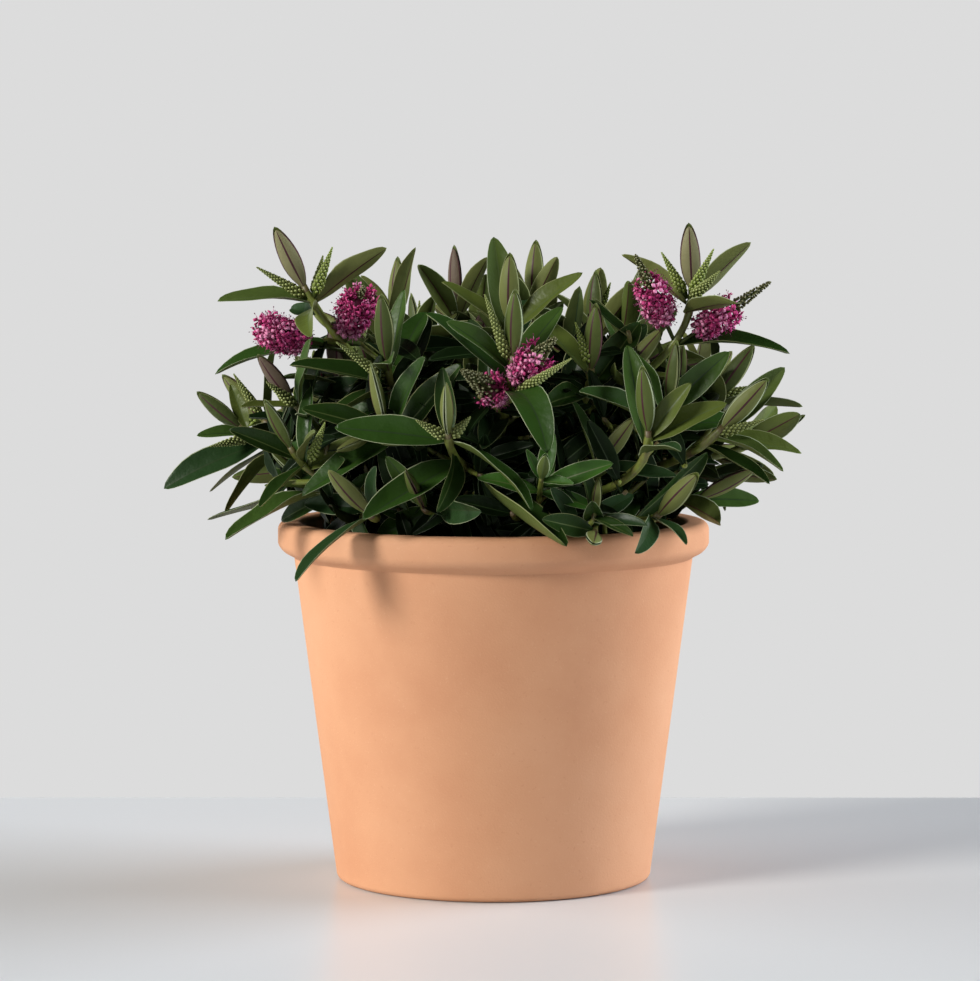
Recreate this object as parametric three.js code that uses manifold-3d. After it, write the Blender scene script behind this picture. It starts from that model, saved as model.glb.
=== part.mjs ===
// A flowering hebe shrub growing in a terracotta pot.
//
// Millimetres, +Z up. The front faces -Y and the right-hand side +X. The origin is the centre of the
// pot's flat underside. Every piece stays clear of its neighbours by CLEARANCE. Each foliage mass is
// one closed body: a stem, its side twigs, their leaves, buds, flower spikes and open blooms.

import * as THREE from "three";
import { mergeVertices } from "three/addons/utils/BufferGeometryUtils.js";
import Module from "manifold-3d";

const wasm = await Module();
wasm.setup();

// ---------------------------------------------------------------- driving dimensions

const CLEARANCE = 0.3;

const POT = {
  height: 200,
  rimRadius: 120,
  mouthRadius: 105,
  neckRadius: 111,
  baseRadius: 88,
  lipHeight: 18.5,
  lipRound: 4.6,
  footRound: 3.5,
  wall: 8,
  floor: 12,
  sides: 48,
  // The hollow from the neck into the lip, as [outwards from the neck, upwards from the lip's foot].
  lipCurve: [[0, -1.5], [3.6, 0.7], [7.2, 3.3], [9, 6.7]],
};

// The potting mix: lumps of one height and size, on rings at shares of the pot's inside.
const SOIL = {
  level: 178,
  flatRadius: 20,
  lumpHeight: 1.8,
  lumpSize: 9,
  rings: [0.96, 0.7, 0.42],
  sides: 24,
};

const TRUNK = {
  height: 34,
  flareRadius: 13.5,
  flareHeight: 3,
  neckRadius: 8.6,
  neckHeight: 8,
  tipRadius: 6.4,
  lean: 2.5,
  sides: 10,
};

// A bough reaches a share of the way to the masses that it carries, and leaves the trunk at a slope.
const BOUGH = { rootRadius: 4, tipRadius: 3.3, sides: 6, steps: 4, slope: 0.42, reach: 0.34 };

// Two masses on one bough stand apart by a share of the twig's thickness.
const TWIG = {
  rootRadius: 3,
  tipRadius: 2.2,
  sides: 3,
  steps: 4,
  forkAt: 0.36,
  forkSpread: 0.06,
  apart: 1.12,
};

// How far a limb keeps its first and last directions, as a share of its reach.
const SWEEP = 0.35;

// A shoot carries crossed pairs of leaves. The first pair stands just under the closed bud and each
// later pair lies further down the twig, opens wider and is older.
const PAIRS = [
  { below: 0, open: 54, length: 49, recurve: 8 },
  { below: 12, open: 68, length: 55, recurve: 18 },
  { below: 27, open: 80, length: 56, recurve: 26 },
  { below: 45, open: 92, length: 54, recurve: 32 },
  { below: 66, open: 102, length: 50, recurve: 32 },
];

// A leaf's half width is a share of its length. Its face looks along the twig, a little to the sky and
// outwards. `free` is the share of its length at its root where it may cross its own mass.
const LEAF = {
  width: 0.16,
  thickness: 1.3,
  sunk: 0.5,
  fold: 18,
  skyward: 0.35,
  outlook: 0.6,
  free: 0.3,
  roundStations: [0.32, 0.7],
  plainStations: [0.46],
};

// How much leaves differ from the rule, either way: degrees, and a share of the length.
const LEAF_SPREAD = { open: 8, length: 0.08, recurve: 14, twist: 18 };

const BUD = { stalk: 5, length: 38, width: 5.6, depth: 2.7, sunk: 2 };

// A young flower spike in the axil of some of the uppermost leaves.
const SPIKE = {
  length: 27,
  lengthSpread: 0.2,
  radius: 3.2,
  widest: 0.38,
  open: 32,
  above: 5,
  free: 0.45,
  chance: 0.62,
  sides: 3,
};

const BLOOM = { radius: 10.2, stalkRadius: 2.6, stretch: 1.3, lumps: 0.14 };

// A smaller shoot in the axil of a lower leaf of each shoot whose twig is long enough.
const SIDE = { below: 50, length: 40, along: 0.55, upward: 0.5, size: 0.84, pairs: 2, lowest: 0.12 };

const SIDE_SPREAD = { below: 8, along: 0.15, turn: 25 };

const CROWN = { top: 366, radius: 185, bottom: 190 };

// Where each run of chance begins: one for each mass, and from there for its shoots and side shoots.
const SEED = { mass: 11, massStep: 101, shoots: 7, sides: 13, back: 501, backStep: 37 };

// ---------------------------------------------------------------- the plant's shoots

// The height above the potting mix at which each bough leaves the trunk.
const BOUGH_HEIGHTS = {
  left_low: 7,
  front_right: 7,
  back_right: 7,
  back_left: 7,
  front_left: 16,
  right_low: 17,
  back: 16,
  left_high: 27,
  right_high: 27,
  centre: 27,
};

// Each mass names the bough that carries it and its shoots. A shoot says where its uppermost open pair
// stands, how far it leans to the right and to the front (degrees), how its first pair is turned about
// it, and its size. Angles about a shoot run from the right (0) by the front (90) to the left (180).
// `bottom` is how far down its leaves may hang, for a shoot with one that lies over the pot's rim.
// Organs that stand out of the rule's order are given by how far below the bud they stand and the place
// that their tip reaches. Leaves are [below, tip, recurve] and may add the way their face looks. They
// take the place of the rule's uppermost pairs where `skip` says so, and of all of them on a `bare`
// shoot, whose twig carries nothing else. A `single` shoot has no side shoot. Young spikes are
// [below, tip], and blooms [below, tip, share of the way to their middle].
const FRONT_MASSES = {
  top_left: {
    bough: "left_high",
    shoots: [
      {
        at: [-101, -45, 327],
        lean: [-26, 8],
        turn: 0,
        bare: true,
        leaves: [
          [6, [-150, -48, 323], 26],
          [6, [-58, -45, 352], 14, [-0.4, 0.8, 0.5]],
          [9, [-97, -88, 305], 48],
          [14, [-112, -14, 318], 10],
          [38, [-152, -42, 283], 40],
        ],
        spikes: [[4, [-129, -50, 342]], [4, [-87, -54, 353]], [4, [-93, -36, 348]]],
        blooms: [[40, [-126, -62, 309], 0.77], [34, [-70, -58, 332], 0.6]],
      },
      {
        at: [-55, 8, 306],
        lean: [2, -6],
        turn: 35,
        skip: 1,
        single: true,
        leaves: [[2, [-43, -12, 352], 8], [2, [-74, 12, 336], 14]],
      },
    ],
  },
  left_centre: {
    bough: "left_high",
    shoots: [
      {
        at: [-57, -80, 288],
        lean: [-4, 10],
        turn: 20,
        skip: 1,
        leaves: [[2, [-48, -66, 330], 8], [4, [-54, -118, 292], 50], [12, [-109, -88, 290], 16]],
        spikes: [[10, [-84, -96, 303]]],
      },
      {
        at: [-57, -100, 254],
        lean: [-12, 16],
        turn: 60,
        skip: 1,
        leaves: [[3, [-102, -106, 268], 14], [3, [-36, -112, 296], 8]],
      },
    ],
  },
  middle_left: {
    bough: "left_low",
    shoots: [
      {
        at: [-107, -66, 268],
        lean: [-36, 14],
        turn: 12,
        size: 0.85,
        skip: 1,
        leaves: [[2, [-136, -76, 267], 10], [2, [-98, -76, 304], 6]],
        spikes: [[2, [-122, -80, 281]]],
      },
      {
        at: [-138, -8, 250],
        lean: [-50, 6],
        turn: 30,
        size: 0.85,
        skip: 2,
        single: true,
        leaves: [
          [2, [-146, -2, 276], 6, [0, -1, 0.1]],
          [5, [-164, -16, 248], 20, [-0.3, -0.6, 0.7]],
          [16, [-182, -20, 219], 26, [-0.3, -0.8, 0.6]],
          [22, [-158, -4, 216], 10],
        ],
        spikes: [[8, [-156, -32, 243]]],
      },
    ],
  },
  low_left: {
    bough: "left_low",
    shoots: [
      {
        at: [-107, -86, 243],
        lean: [-27, 20],
        turn: 25,
        size: 0.85,
        skip: 1,
        single: true,
        leaves: [[10, [-141, -94, 256], 10], [8, [-94, -114, 256], 20]],
        spikes: [[14, [-89, -106, 261]]],
      },
      {
        at: [-96, -62, 222],
        lean: [-50, 20],
        turn: 84,
        size: 0.8,
        skip: 1,
        single: true,
        leaves: [
          [4, [-144, -82, 196], 16],
          [12, [-157, -36, 203], 10, [0, 0, 1]],
          [2, [-123, -80, 225], 12],
          [24, [-64, -84, 231], 12],
        ],
      },
      {
        at: [-64, -98, 209],
        lean: [-40, 36],
        turn: 165,
        skip: 2,
        single: true,
        bottom: 160,
        leaves: [[2, [-104, -128, 178], 24, [-0.62, -0.1, 0.76]], [4, [-62, -112, 238], 22]],
      },
    ],
  },
  front_left: {
    bough: "front_left",
    shoots: [
      {
        at: [-24, -114, 252],
        lean: [-2, 40],
        turn: 100,
        bare: true,
        leaves: [
          [2, [-27, -104, 290], 0],
          [3, [-84, -112, 258], 14],
          [3, [20, -128, 215], 40, [0.7, -0.1, 0.7]],
          [14, [-30, -134, 215], 44, [0.8, -0.5, 0.35]],
          [28, [-69, -122, 210], 10],
          [42, [38, -144, 198], -16, [0.45, -0.25, 0.85]],
        ],
        spikes: [[1, [-41, -126, 263]], [1, [-12, -126, 265]]],
      },
      { at: [-36, -96, 212], lean: [-24, 44], turn: 50, size: 0.9 },
    ],
  },
  front_centre: {
    bough: "front_left",
    shoots: [
      {
        at: [10, -98, 291],
        lean: [2, 10],
        turn: 28,
        bare: true,
        leaves: [
          [4, [-25, -110, 314], 20],
          [12, [-36, -102, 318], 16],
          [4, [37, -78, 321], 10],
          [18, [28, -134, 246], 105],
        ],
        spikes: [[2, [-5, -110, 329]], [20, [41, -136, 296]]],
        blooms: [[22, [-17, -120, 289], 0.52], [12, [33, -114, 306], 0.5]],
      },
      {
        at: [8, -68, 309],
        lean: [1, 2],
        turn: 10,
        skip: 1,
        leaves: [[3, [48, -66, 339], 12], [3, [-28, -68, 334], 14], [4, [0, -46, 358], 4]],
      },
    ],
  },
  top_centre: {
    bough: "centre",
    shoots: [
      {
        at: [-21, 38, 312],
        lean: [-2, -6],
        turn: 50,
        skip: 1,
        leaves: [[3, [-3, 30, 346], 18], [4, [-42, 16, 342], 30]],
      },
      {
        at: [22, 46, 315],
        lean: [3, -8],
        turn: 20,
        skip: 1,
        leaves: [[4, [36, 34, 346], 14], [6, [2, 30, 350], 16]],
      },
    ],
  },
  front_low: {
    bough: "front_right",
    shoots: [
      {
        at: [25, -122, 231],
        lean: [8, 50],
        turn: 12,
        size: 0.6,
        skip: 1,
        leaves: [[2, [17, -130, 248], 6], [2, [42, -136, 230], 6], [16, [63, -122, 240], 10]],
      },
      { at: [53, -112, 210], lean: [6, 18], turn: 50, size: 0.6, leaves: [[8, [81, -122, 207], 12]] },
    ],
  },
  front_right: {
    bough: "front_right",
    shoots: [
      {
        at: [82, -112, 252],
        lean: [-6, 14],
        turn: 30,
        bare: true,
        leaves: [
          [4, [71, -92, 301], 6],
          [3, [123, -112, 271], 16],
          [2, [104, -116, 282], 8],
          [12, [98, -136, 247], 36],
        ],
      },
      {
        at: [86, -92, 208],
        lean: [40, 40],
        turn: 60,
        skip: 1,
        bottom: 170,
        leaves: [[2, [74, -128, 193], 46], [2, [102, -112, 196], 36]],
      },
    ],
  },
  right_centre: {
    bough: "right_high",
    shoots: [
      { at: [52, -72, 283], lean: [4, 10], turn: 30 },
      {
        at: [93, -85, 264],
        lean: [6, 12],
        turn: 70,
        skip: 1,
        leaves: [[2, [126, -80, 297], 8], [2, [76, -70, 296], 10]],
      },
    ],
  },
  top_right: {
    bough: "right_high",
    shoots: [
      {
        at: [108, -42, 325],
        lean: [-3, 6],
        turn: 0,
        bare: true,
        leaves: [
          [4, [70, -28, 348], 26, [0.4, 0.7, 0.6]],
          [4, [140, -42, 355], 6, [-0.4, 0.6, 0.5]],
          [9, [130, -88, 323], 16],
          [30, [162, -36, 294], 36],
        ],
        spikes: [[1, [91, -44, 350]], [1, [119, -58, 352]], [3, [122, -66, 340]]],
        blooms: [[26, [76, -66, 349], 0.5], [36, [151, -46, 334], 0.54]],
      },
      { at: [56, 26, 298], lean: [2, -4], turn: 40, single: true },
    ],
  },
  right: {
    bough: "right_low",
    shoots: [
      {
        at: [120, -78, 253],
        lean: [42, 10],
        turn: 20,
        bare: true,
        leaves: [
          [2, [157, -66, 288], 6],
          [3, [155, -86, 233], 26],
          [6, [167, -58, 241], 16],
          [12, [148, -82, 226], 12],
        ],
        spikes: [[4, [145, -86, 261]]],
      },
      {
        at: [108, -50, 214],
        lean: [62, 8],
        turn: 10,
        skip: 1,
        leaves: [[3, [146, -30, 213], 14], [8, [121, -92, 206], 16]],
      },
    ],
  },
  far_right: {
    bough: "right_low",
    shoots: [
      { at: [122, 14, 264], lean: [36, -4], turn: 0 },
      {
        at: [137, -6, 240],
        lean: [62, -2],
        turn: 60,
        skip: 1,
        pairs: 1,
        leaves: [[3, [168, -34, 261], 12], [3, [160, 34, 262], 12]],
      },
    ],
  },
};

// The back of the crown: each mass has a high shoot, one that leans out and one that lies over the rim.
const BACK = {
  boughs: ["back_right", "back", "back_left"],
  massesPerBough: 2,
  from: 112,
  to: 250,
  high: { radius: 88, height: 289, lean: 14 },
  low: { radius: 132, height: 250, lean: 46 },
  rim: { radius: 96, height: 214, lean: 62, pairs: 3 },
  spread: { radius: 0.1, height: 0.05 },
};

// ---------------------------------------------------------------- small helpers

const vector = (x, y, z) => new THREE.Vector3(x, y, z);
const radians = THREE.MathUtils.degToRad;
const UP = vector(0, 0, 1);
const RIGHT = vector(1, 0, 0);
const BACKWARD = vector(0, 1, 0);

/** A repeatable run of numbers from 0 to 1. */
function seeded(seed) {
  let state = seed;
  return () => {
    state = (state * 16807) % 2147483647;
    return state / 2147483647;
  };
}

/** A number spread evenly about 0, up to the given size either way. */
const about = (random, size) => (2 * random() - 1) * size;

/** The unit vector of a shoot that leans to the right and to the front by these angles. */
const leaning = ([right, front]) =>
  vector(Math.tan(radians(right)), -Math.tan(radians(front)), 1).normalize();

/** A vector turned about a unit axis. */
const turned = (v, axis, degrees) => v.clone().applyAxisAngle(axis, radians(degrees));

/** The part of a vector that is square to a unit axis, made a unit vector. */
const squared = (v, axis) => v.clone().addScaledVector(axis, -v.dot(axis)).normalize();

/** A geometry as a solid, without its faces that have no area. */
function solidOf(geometry) {
  const bare = new THREE.BufferGeometry().setAttribute("position", geometry.attributes.position);
  if (geometry.index) bare.setIndex(geometry.index);
  const merged = mergeVertices(bare, 1e-4);
  const corners = merged.index.array;
  const kept = [];
  for (let i = 0; i < corners.length; i += 3) {
    const [a, b, c] = corners.slice(i, i + 3);
    if (a !== b && b !== c && c !== a) kept.push(a, b, c);
  }
  return new wasm.Manifold(
    new wasm.Mesh({
      numProp: 3,
      vertProperties: new Float32Array(merged.attributes.position.array),
      triVerts: new Uint32Array(kept),
    }),
  );
}

/** A solid as a geometry. */
function geometryOf(solid) {
  const mesh = solid.getMesh();
  const points = new Float32Array(mesh.numVert * 3);
  for (let i = 0; i < mesh.numVert; i++) {
    points.set(mesh.vertProperties.subarray(i * mesh.numProp, i * mesh.numProp + 3), i * 3);
  }
  const geometry = new THREE.BufferGeometry();
  geometry.setAttribute("position", new THREE.BufferAttribute(points, 3));
  geometry.setIndex(new THREE.BufferAttribute(mesh.triVerts, 1));
  geometry.computeVertexNormals();
  return geometry;
}

/** A profile of [radius, height] points turned about the vertical axis. */
function turnedProfile(profile, sides) {
  const points = profile.map(([radius, height]) => new THREE.Vector2(radius, height));
  return new THREE.LatheGeometry(points, sides).rotateX(Math.PI / 2);
}

/** Points on a quarter or other arc of a circle, as [radius, height]. */
function arc(centre, radius, from, to, steps) {
  return Array.from({ length: steps + 1 }, (_, i) => {
    const angle = radians(from + ((to - from) * i) / steps);
    return [centre[0] + radius * Math.cos(angle), centre[1] + radius * Math.sin(angle)];
  });
}

// ---------------------------------------------------------------- pot, potting mix and trunk

/** The pot: a tapering wall with a rounded foot and a rolled lip that slopes back to the neck. */
function potGeometry() {
  const p = POT;
  const lipFoot = p.height - p.lipHeight;
  const outer = [
    [0, 0],
    ...arc([p.baseRadius - p.footRound, p.footRound], p.footRound, -90, 0, 2),
    ...p.lipCurve.map(([outwards, upwards]) => [p.neckRadius + outwards, lipFoot + upwards]),
    ...arc([p.rimRadius - p.lipRound, p.height - p.lipRound], p.lipRound, 20, 90, 2),
    ...arc([p.mouthRadius + p.lipRound, p.height - p.lipRound], p.lipRound, 90, 180, 2),
  ];
  const inner = [
    [p.neckRadius - p.wall, lipFoot],
    [p.baseRadius - p.wall, p.floor],
    [0, p.floor],
  ];
  return turnedProfile([...outer, ...inner], p.sides);
}

/** How wide the pot's inside is at a height. */
function insideRadius(height) {
  const share = (height - POT.floor) / (POT.height - POT.lipHeight - POT.floor);
  return THREE.MathUtils.lerp(POT.baseRadius, POT.neckRadius, share) - POT.wall;
}

/** The potting mix: it fills the pot to its level, with an uneven top around the trunk's flat seat. */
function soilGeometry() {
  const low = POT.floor + CLEARANCE;
  const top = SOIL.level - SOIL.lumpHeight;
  const profile = [
    [0, low],
    [insideRadius(low) - 2 * CLEARANCE, low],
    [insideRadius(SOIL.level) - 2 * CLEARANCE, top - SOIL.lumpHeight],
    ...SOIL.rings.map((share) => [share * insideRadius(SOIL.level), top]),
    [SOIL.flatRadius, SOIL.level],
    [0, SOIL.level],
  ];
  const geometry = turnedProfile(profile, SOIL.sides);
  const position = geometry.attributes.position;
  for (let i = 0; i < position.count; i++) {
    if (Math.abs(position.getZ(i) - top) > SOIL.lumpHeight / 2) continue;
    const [x, y] = [position.getX(i) / SOIL.lumpSize, position.getY(i) / SOIL.lumpSize];
    position.setZ(i, top + SOIL.lumpHeight * Math.sin(x + 2) * Math.cos(y + x / 2));
  }
  return geometry;
}

/** The trunk: a flared foot cut flat at the potting mix, leaning a little, up to its fork. */
function trunkGeometry(extra = 0) {
  const t = TRUNK;
  const profile = [
    [0, 0],
    [t.flareRadius + extra, 0],
    [(t.flareRadius + t.neckRadius) / 2 + extra, t.flareHeight],
    [t.neckRadius + extra, t.neckHeight],
    [t.tipRadius + extra, t.height - t.flareHeight],
    [t.tipRadius / 2 + extra, t.height + extra],
    [0, t.height + extra],
  ];
  const geometry = turnedProfile(profile, t.sides);
  const position = geometry.attributes.position;
  for (let i = 0; i < position.count; i++) {
    position.setX(i, position.getX(i) + (t.lean * position.getZ(i)) / t.height);
  }
  return geometry.translate(0, 0, SOIL.level + CLEARANCE);
}

// ---------------------------------------------------------------- limbs, leaves and flowers

/** A tapering limb: a capped cylinder bent along a curve. */
function limbGeometry(curve, rootRadius, tipRadius, sides, steps) {
  const geometry = new THREE.CylinderGeometry(1, 1, 1, sides, steps);
  const frames = curve.computeFrenetFrames(steps, false);
  const position = geometry.attributes.position;
  for (let i = 0; i < position.count; i++) {
    const share = position.getY(i) + 0.5;
    const step = Math.round(share * steps);
    const radius = THREE.MathUtils.lerp(rootRadius, tipRadius, share);
    const point = curve
      .getPointAt(share)
      .addScaledVector(frames.normals[step], radius * position.getX(i))
      .addScaledVector(frames.binormals[step], -radius * position.getZ(i));
    position.setXYZ(i, point.x, point.y, point.z);
  }
  return geometry;
}

/** A smooth curve that leaves one point along a direction and reaches another along a direction. */
function sweep(start, startWay, end, endWay) {
  const reach = start.distanceTo(end);
  return new THREE.CubicBezierCurve3(
    start,
    start.clone().addScaledVector(startWay, reach * SWEEP),
    end.clone().addScaledVector(endWay, -reach * SWEEP),
    end,
  );
}

/** The direction that opens from an axis towards its side by an angle. */
const spreading = (axis, outward, open) =>
  axis.clone().multiplyScalar(Math.cos(radians(open))).addScaledVector(outward, Math.sin(radians(open)));

/** Half a leaf's width at a share of its length, as a share of its widest. */
const outline = (t) => Math.sin(Math.PI * t ** 0.92) ** 0.82;

/**
 * The frame of a leaf's midrib at a share of its length: its point, the way up from its face and the
 * way to its right. The midrib bends away from the twig and the blade twists about it.
 */
function midrib(leaf, t) {
  const bend = radians(leaf.recurve);
  const along = bend ? Math.sin(bend * t) / bend : t;
  const away = bend ? (1 - Math.cos(bend * t)) / bend : 0;
  const point = leaf.root
    .clone()
    .addScaledVector(leaf.way, leaf.length * along)
    .addScaledVector(leaf.up, -leaf.length * away);
  const way = leaf.way
    .clone()
    .multiplyScalar(Math.cos(bend * t))
    .addScaledVector(leaf.up, -Math.sin(bend * t));
  const right = leaf.way.clone().cross(leaf.up);
  const up = turned(right.clone().cross(way), way, leaf.twist * t);
  return { point, up, right: way.clone().cross(up) };
}

/** A leaf of few faces, grown by `extra` all round, from a share of its length to its tip. */
function leafGeometry(leaf, extra = 0, from = 0) {
  const rib = (t) => midrib(leaf, t);
  const edge = (t, side) => {
    const { point, up, right } = rib(t);
    const half = leaf.width * outline(t) + extra;
    return point
      .addScaledVector(right, side * half * Math.cos(radians(leaf.fold)))
      .addScaledVector(up, half * Math.sin(radians(leaf.fold)));
  };
  const middle = rib((1 + from) / 2);
  const face = leaf.thickness / 2 + extra;
  const stations = leaf.stations.map((t) => from + (1 - from) * t);
  const ring = [
    rib(from).point,
    ...stations.map((t) => edge(t, 1)),
    rib(1).point.addScaledVector(leaf.way, extra),
    ...stations.toReversed().map((t) => edge(t, -1)),
  ];
  const top = middle.point.clone().addScaledVector(middle.up, face);
  const under = middle.point.clone().addScaledVector(middle.up, -face);
  const points = [...ring, top, under];
  const faces = ring.flatMap((_, i) => {
    const next = (i + 1) % ring.length;
    return [ring.length, i, next, ring.length + 1, next, i];
  });
  const geometry = new THREE.BufferGeometry();
  const numbers = points.flatMap((point) => point.toArray());
  geometry.setAttribute("position", new THREE.Float32BufferAttribute(numbers, 3));
  geometry.setIndex(faces);
  return geometry;
}

/** A body turned about a line: [share of its length, radius] points, from its root along a way. */
function spindleGeometry(root, way, length, profile, sides) {
  const points = profile.map(([share, radius]) => new THREE.Vector2(radius, share * length));
  const turn = new THREE.Quaternion().setFromUnitVectors(BACKWARD, way);
  return new THREE.LatheGeometry(points, sides).applyQuaternion(turn).translate(root.x, root.y, root.z);
}

/** A closed bud: the youngest pair of leaves, face to face. */
function budGeometry(bud, extra = 0) {
  return leafGeometry({ ...bud, thickness: 2 * bud.depth, fold: 0, recurve: 0, twist: 0 }, extra);
}

/** A young flower spike: slender, tapering to its tip. */
function spikeGeometry(spike, extra = 0) {
  const profile = [
    [0, 0],
    [SPIKE.widest, spike.radius + extra],
    [1, 0],
  ];
  return spindleGeometry(spike.root, spike.way, spike.length + extra, profile, SPIKE.sides);
}

/** The open part of a bloom: a lumpy egg of florets about the lower part of its spike. */
function bloomGeometry(bloom, extra = 0) {
  const split = new THREE.IcosahedronGeometry(1, 1);
  const ball = mergeVertices(split.deleteAttribute("normal").deleteAttribute("uv"));
  const position = ball.attributes.position;
  const corner = vector(0, 0, 0);
  for (let i = 0; i < position.count; i++) {
    const swell = (BLOOM.radius + extra) * (1 + BLOOM.lumps * (i % 2 ? 1 : -1));
    corner.fromBufferAttribute(position, i).multiply(vector(swell, swell * BLOOM.stretch, swell));
    position.setXYZ(i, corner.x, corner.y, corner.z);
  }
  const centre = bloom.root.clone().addScaledVector(bloom.way, bloom.length * bloom.centre);
  const turn = new THREE.Quaternion().setFromUnitVectors(BACKWARD, bloom.way);
  return ball.applyQuaternion(turn).translate(centre.x, centre.y, centre.z);
}

// ---------------------------------------------------------------- growth

const placed = [];

/** Notes a solid as part of a node. */
function place(node, solid) {
  placed.push({ node, solid, box: solid.boundingBox() });
  return solid;
}

/** Whether a solid meets any placed solid of the nodes that `isOf` picks out. */
function meets(solid, isOf) {
  const box = solid.boundingBox();
  return placed.some(
    (other) =>
      isOf(other.node) &&
      other.box.min.every((low, i) => low <= box.max[i]) &&
      other.box.max.every((high, i) => high >= box.min[i]) &&
      !solid.intersect(other.solid).isEmpty(),
  );
}

/** Whether a solid touches anything that isn't part of a node. */
const touchesOthers = (solid, node) => meets(solid, (other) => other !== node);

/** Whether a solid crosses something of its own node. */
const crossesOwn = (solid, node) => meets(solid, (other) => other === node);

/** Whether an organ's solid stays inside the crown's own space. */
function insideCrown(organ, solid, bottom) {
  const bend = { recurve: 0, twist: 0, ...organ };
  const tip = midrib({ ...bend, up: organ.up ?? UP }, 1).point;
  const { min, max } = solid.boundingBox();
  return max[2] <= CROWN.top && min[2] >= bottom && Math.hypot(tip.x, tip.y) <= CROWN.radius;
}

/** The curve of a shoot's twig, from its root to the bud's foot. */
function twigCurve(root, rootWay, shoot) {
  const end = shoot.point.clone().addScaledVector(shoot.way, BUD.stalk * (shoot.size ?? 1));
  return sweep(root, rootWay, end, shoot.way);
}

/** The point at a share of a twig's length, on the straight stretches of its solid, and its direction. */
function alongTwig(curve, share) {
  const step = Math.min(Math.floor(share * TWIG.steps), TWIG.steps - 1);
  const from = curve.getPointAt(step / TWIG.steps);
  const to = curve.getPointAt((step + 1) / TWIG.steps);
  const point = from.clone().lerp(to, share * TWIG.steps - step);
  return { point, axis: to.sub(from).normalize() };
}

/** The way out of a twig at an angle about it, from its right-hand side towards the front. */
const outwardFrom = (axis, turn) => turned(squared(RIGHT, axis), axis, -turn);

/** A twig as a solid. */
function twigSolid(curve, size = 1, extra = 0) {
  const [root, tip] = [TWIG.rootRadius * size + extra, TWIG.tipRadius * size + extra];
  return solidOf(limbGeometry(curve, root, tip, TWIG.sides, TWIG.steps));
}

/** The way that a leaf's face looks at a twig's node: along the twig, to the sky and outwards. */
const lightAt = ({ point, axis }) =>
  axis
    .clone()
    .addScaledVector(UP, LEAF.skyward)
    .addScaledVector(vector(point.x, point.y, 0).normalize(), LEAF.outlook);

/** A leaf by the rule from the twig's frame at its node. */
function leafOn(node, { open, length, recurve }, stations, random) {
  const { point, axis, outward } = node;
  const way = spreading(axis, outward, open + about(random, LEAF_SPREAD.open));
  const size = length * (1 + about(random, LEAF_SPREAD.length));
  return {
    kind: "leaf",
    root: point.clone().addScaledVector(outward, LEAF.sunk),
    way,
    up: squared(lightAt(node), way),
    length: size,
    width: size * LEAF.width,
    thickness: LEAF.thickness,
    fold: LEAF.fold,
    recurve: recurve + about(random, LEAF_SPREAD.recurve),
    twist: about(random, LEAF_SPREAD.twist),
    stations,
  };
}

/** An organ's root, way and length, from a twig's node to the place that its tip reaches. */
function reachingTo({ point, axis }, tip) {
  const end = vector(...tip);
  const outward = squared(end.clone().sub(point), axis);
  const root = point.clone().addScaledVector(outward, LEAF.sunk);
  const chord = end.sub(root);
  return { root, way: chord.clone().normalize(), length: chord.length() };
}

/** A leaf from a twig's node to the place that its tip reaches. */
function leafTo(node, tip, recurve, face, random) {
  const { root, way, length } = reachingTo(node, tip);
  const half = radians(recurve) / 2;
  const up = squared(face ? vector(...face) : lightAt(node), way);
  const size = half ? (length * half) / Math.sin(half) : length;
  return {
    kind: "leaf",
    root,
    way: way.clone().multiplyScalar(Math.cos(half)).addScaledVector(up, Math.sin(half)),
    up: up.clone().multiplyScalar(Math.cos(half)).addScaledVector(way, -Math.sin(half)),
    length: size,
    width: size * LEAF.width,
    thickness: LEAF.thickness,
    fold: LEAF.fold,
    recurve,
    twist: about(random, LEAF_SPREAD.twist),
    stations: LEAF.roundStations,
  };
}

/** The closed bud at the end of a shoot. */
function budOf(shoot, curve, outward, size) {
  return {
    kind: "bud",
    root: curve.getPointAt(1).addScaledVector(shoot.way, -BUD.sunk),
    way: shoot.way,
    up: squared(outward, shoot.way),
    length: BUD.length * size,
    width: BUD.width * size,
    depth: BUD.depth * size,
    stations: size < 1 ? LEAF.plainStations : LEAF.roundStations,
  };
}

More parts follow.
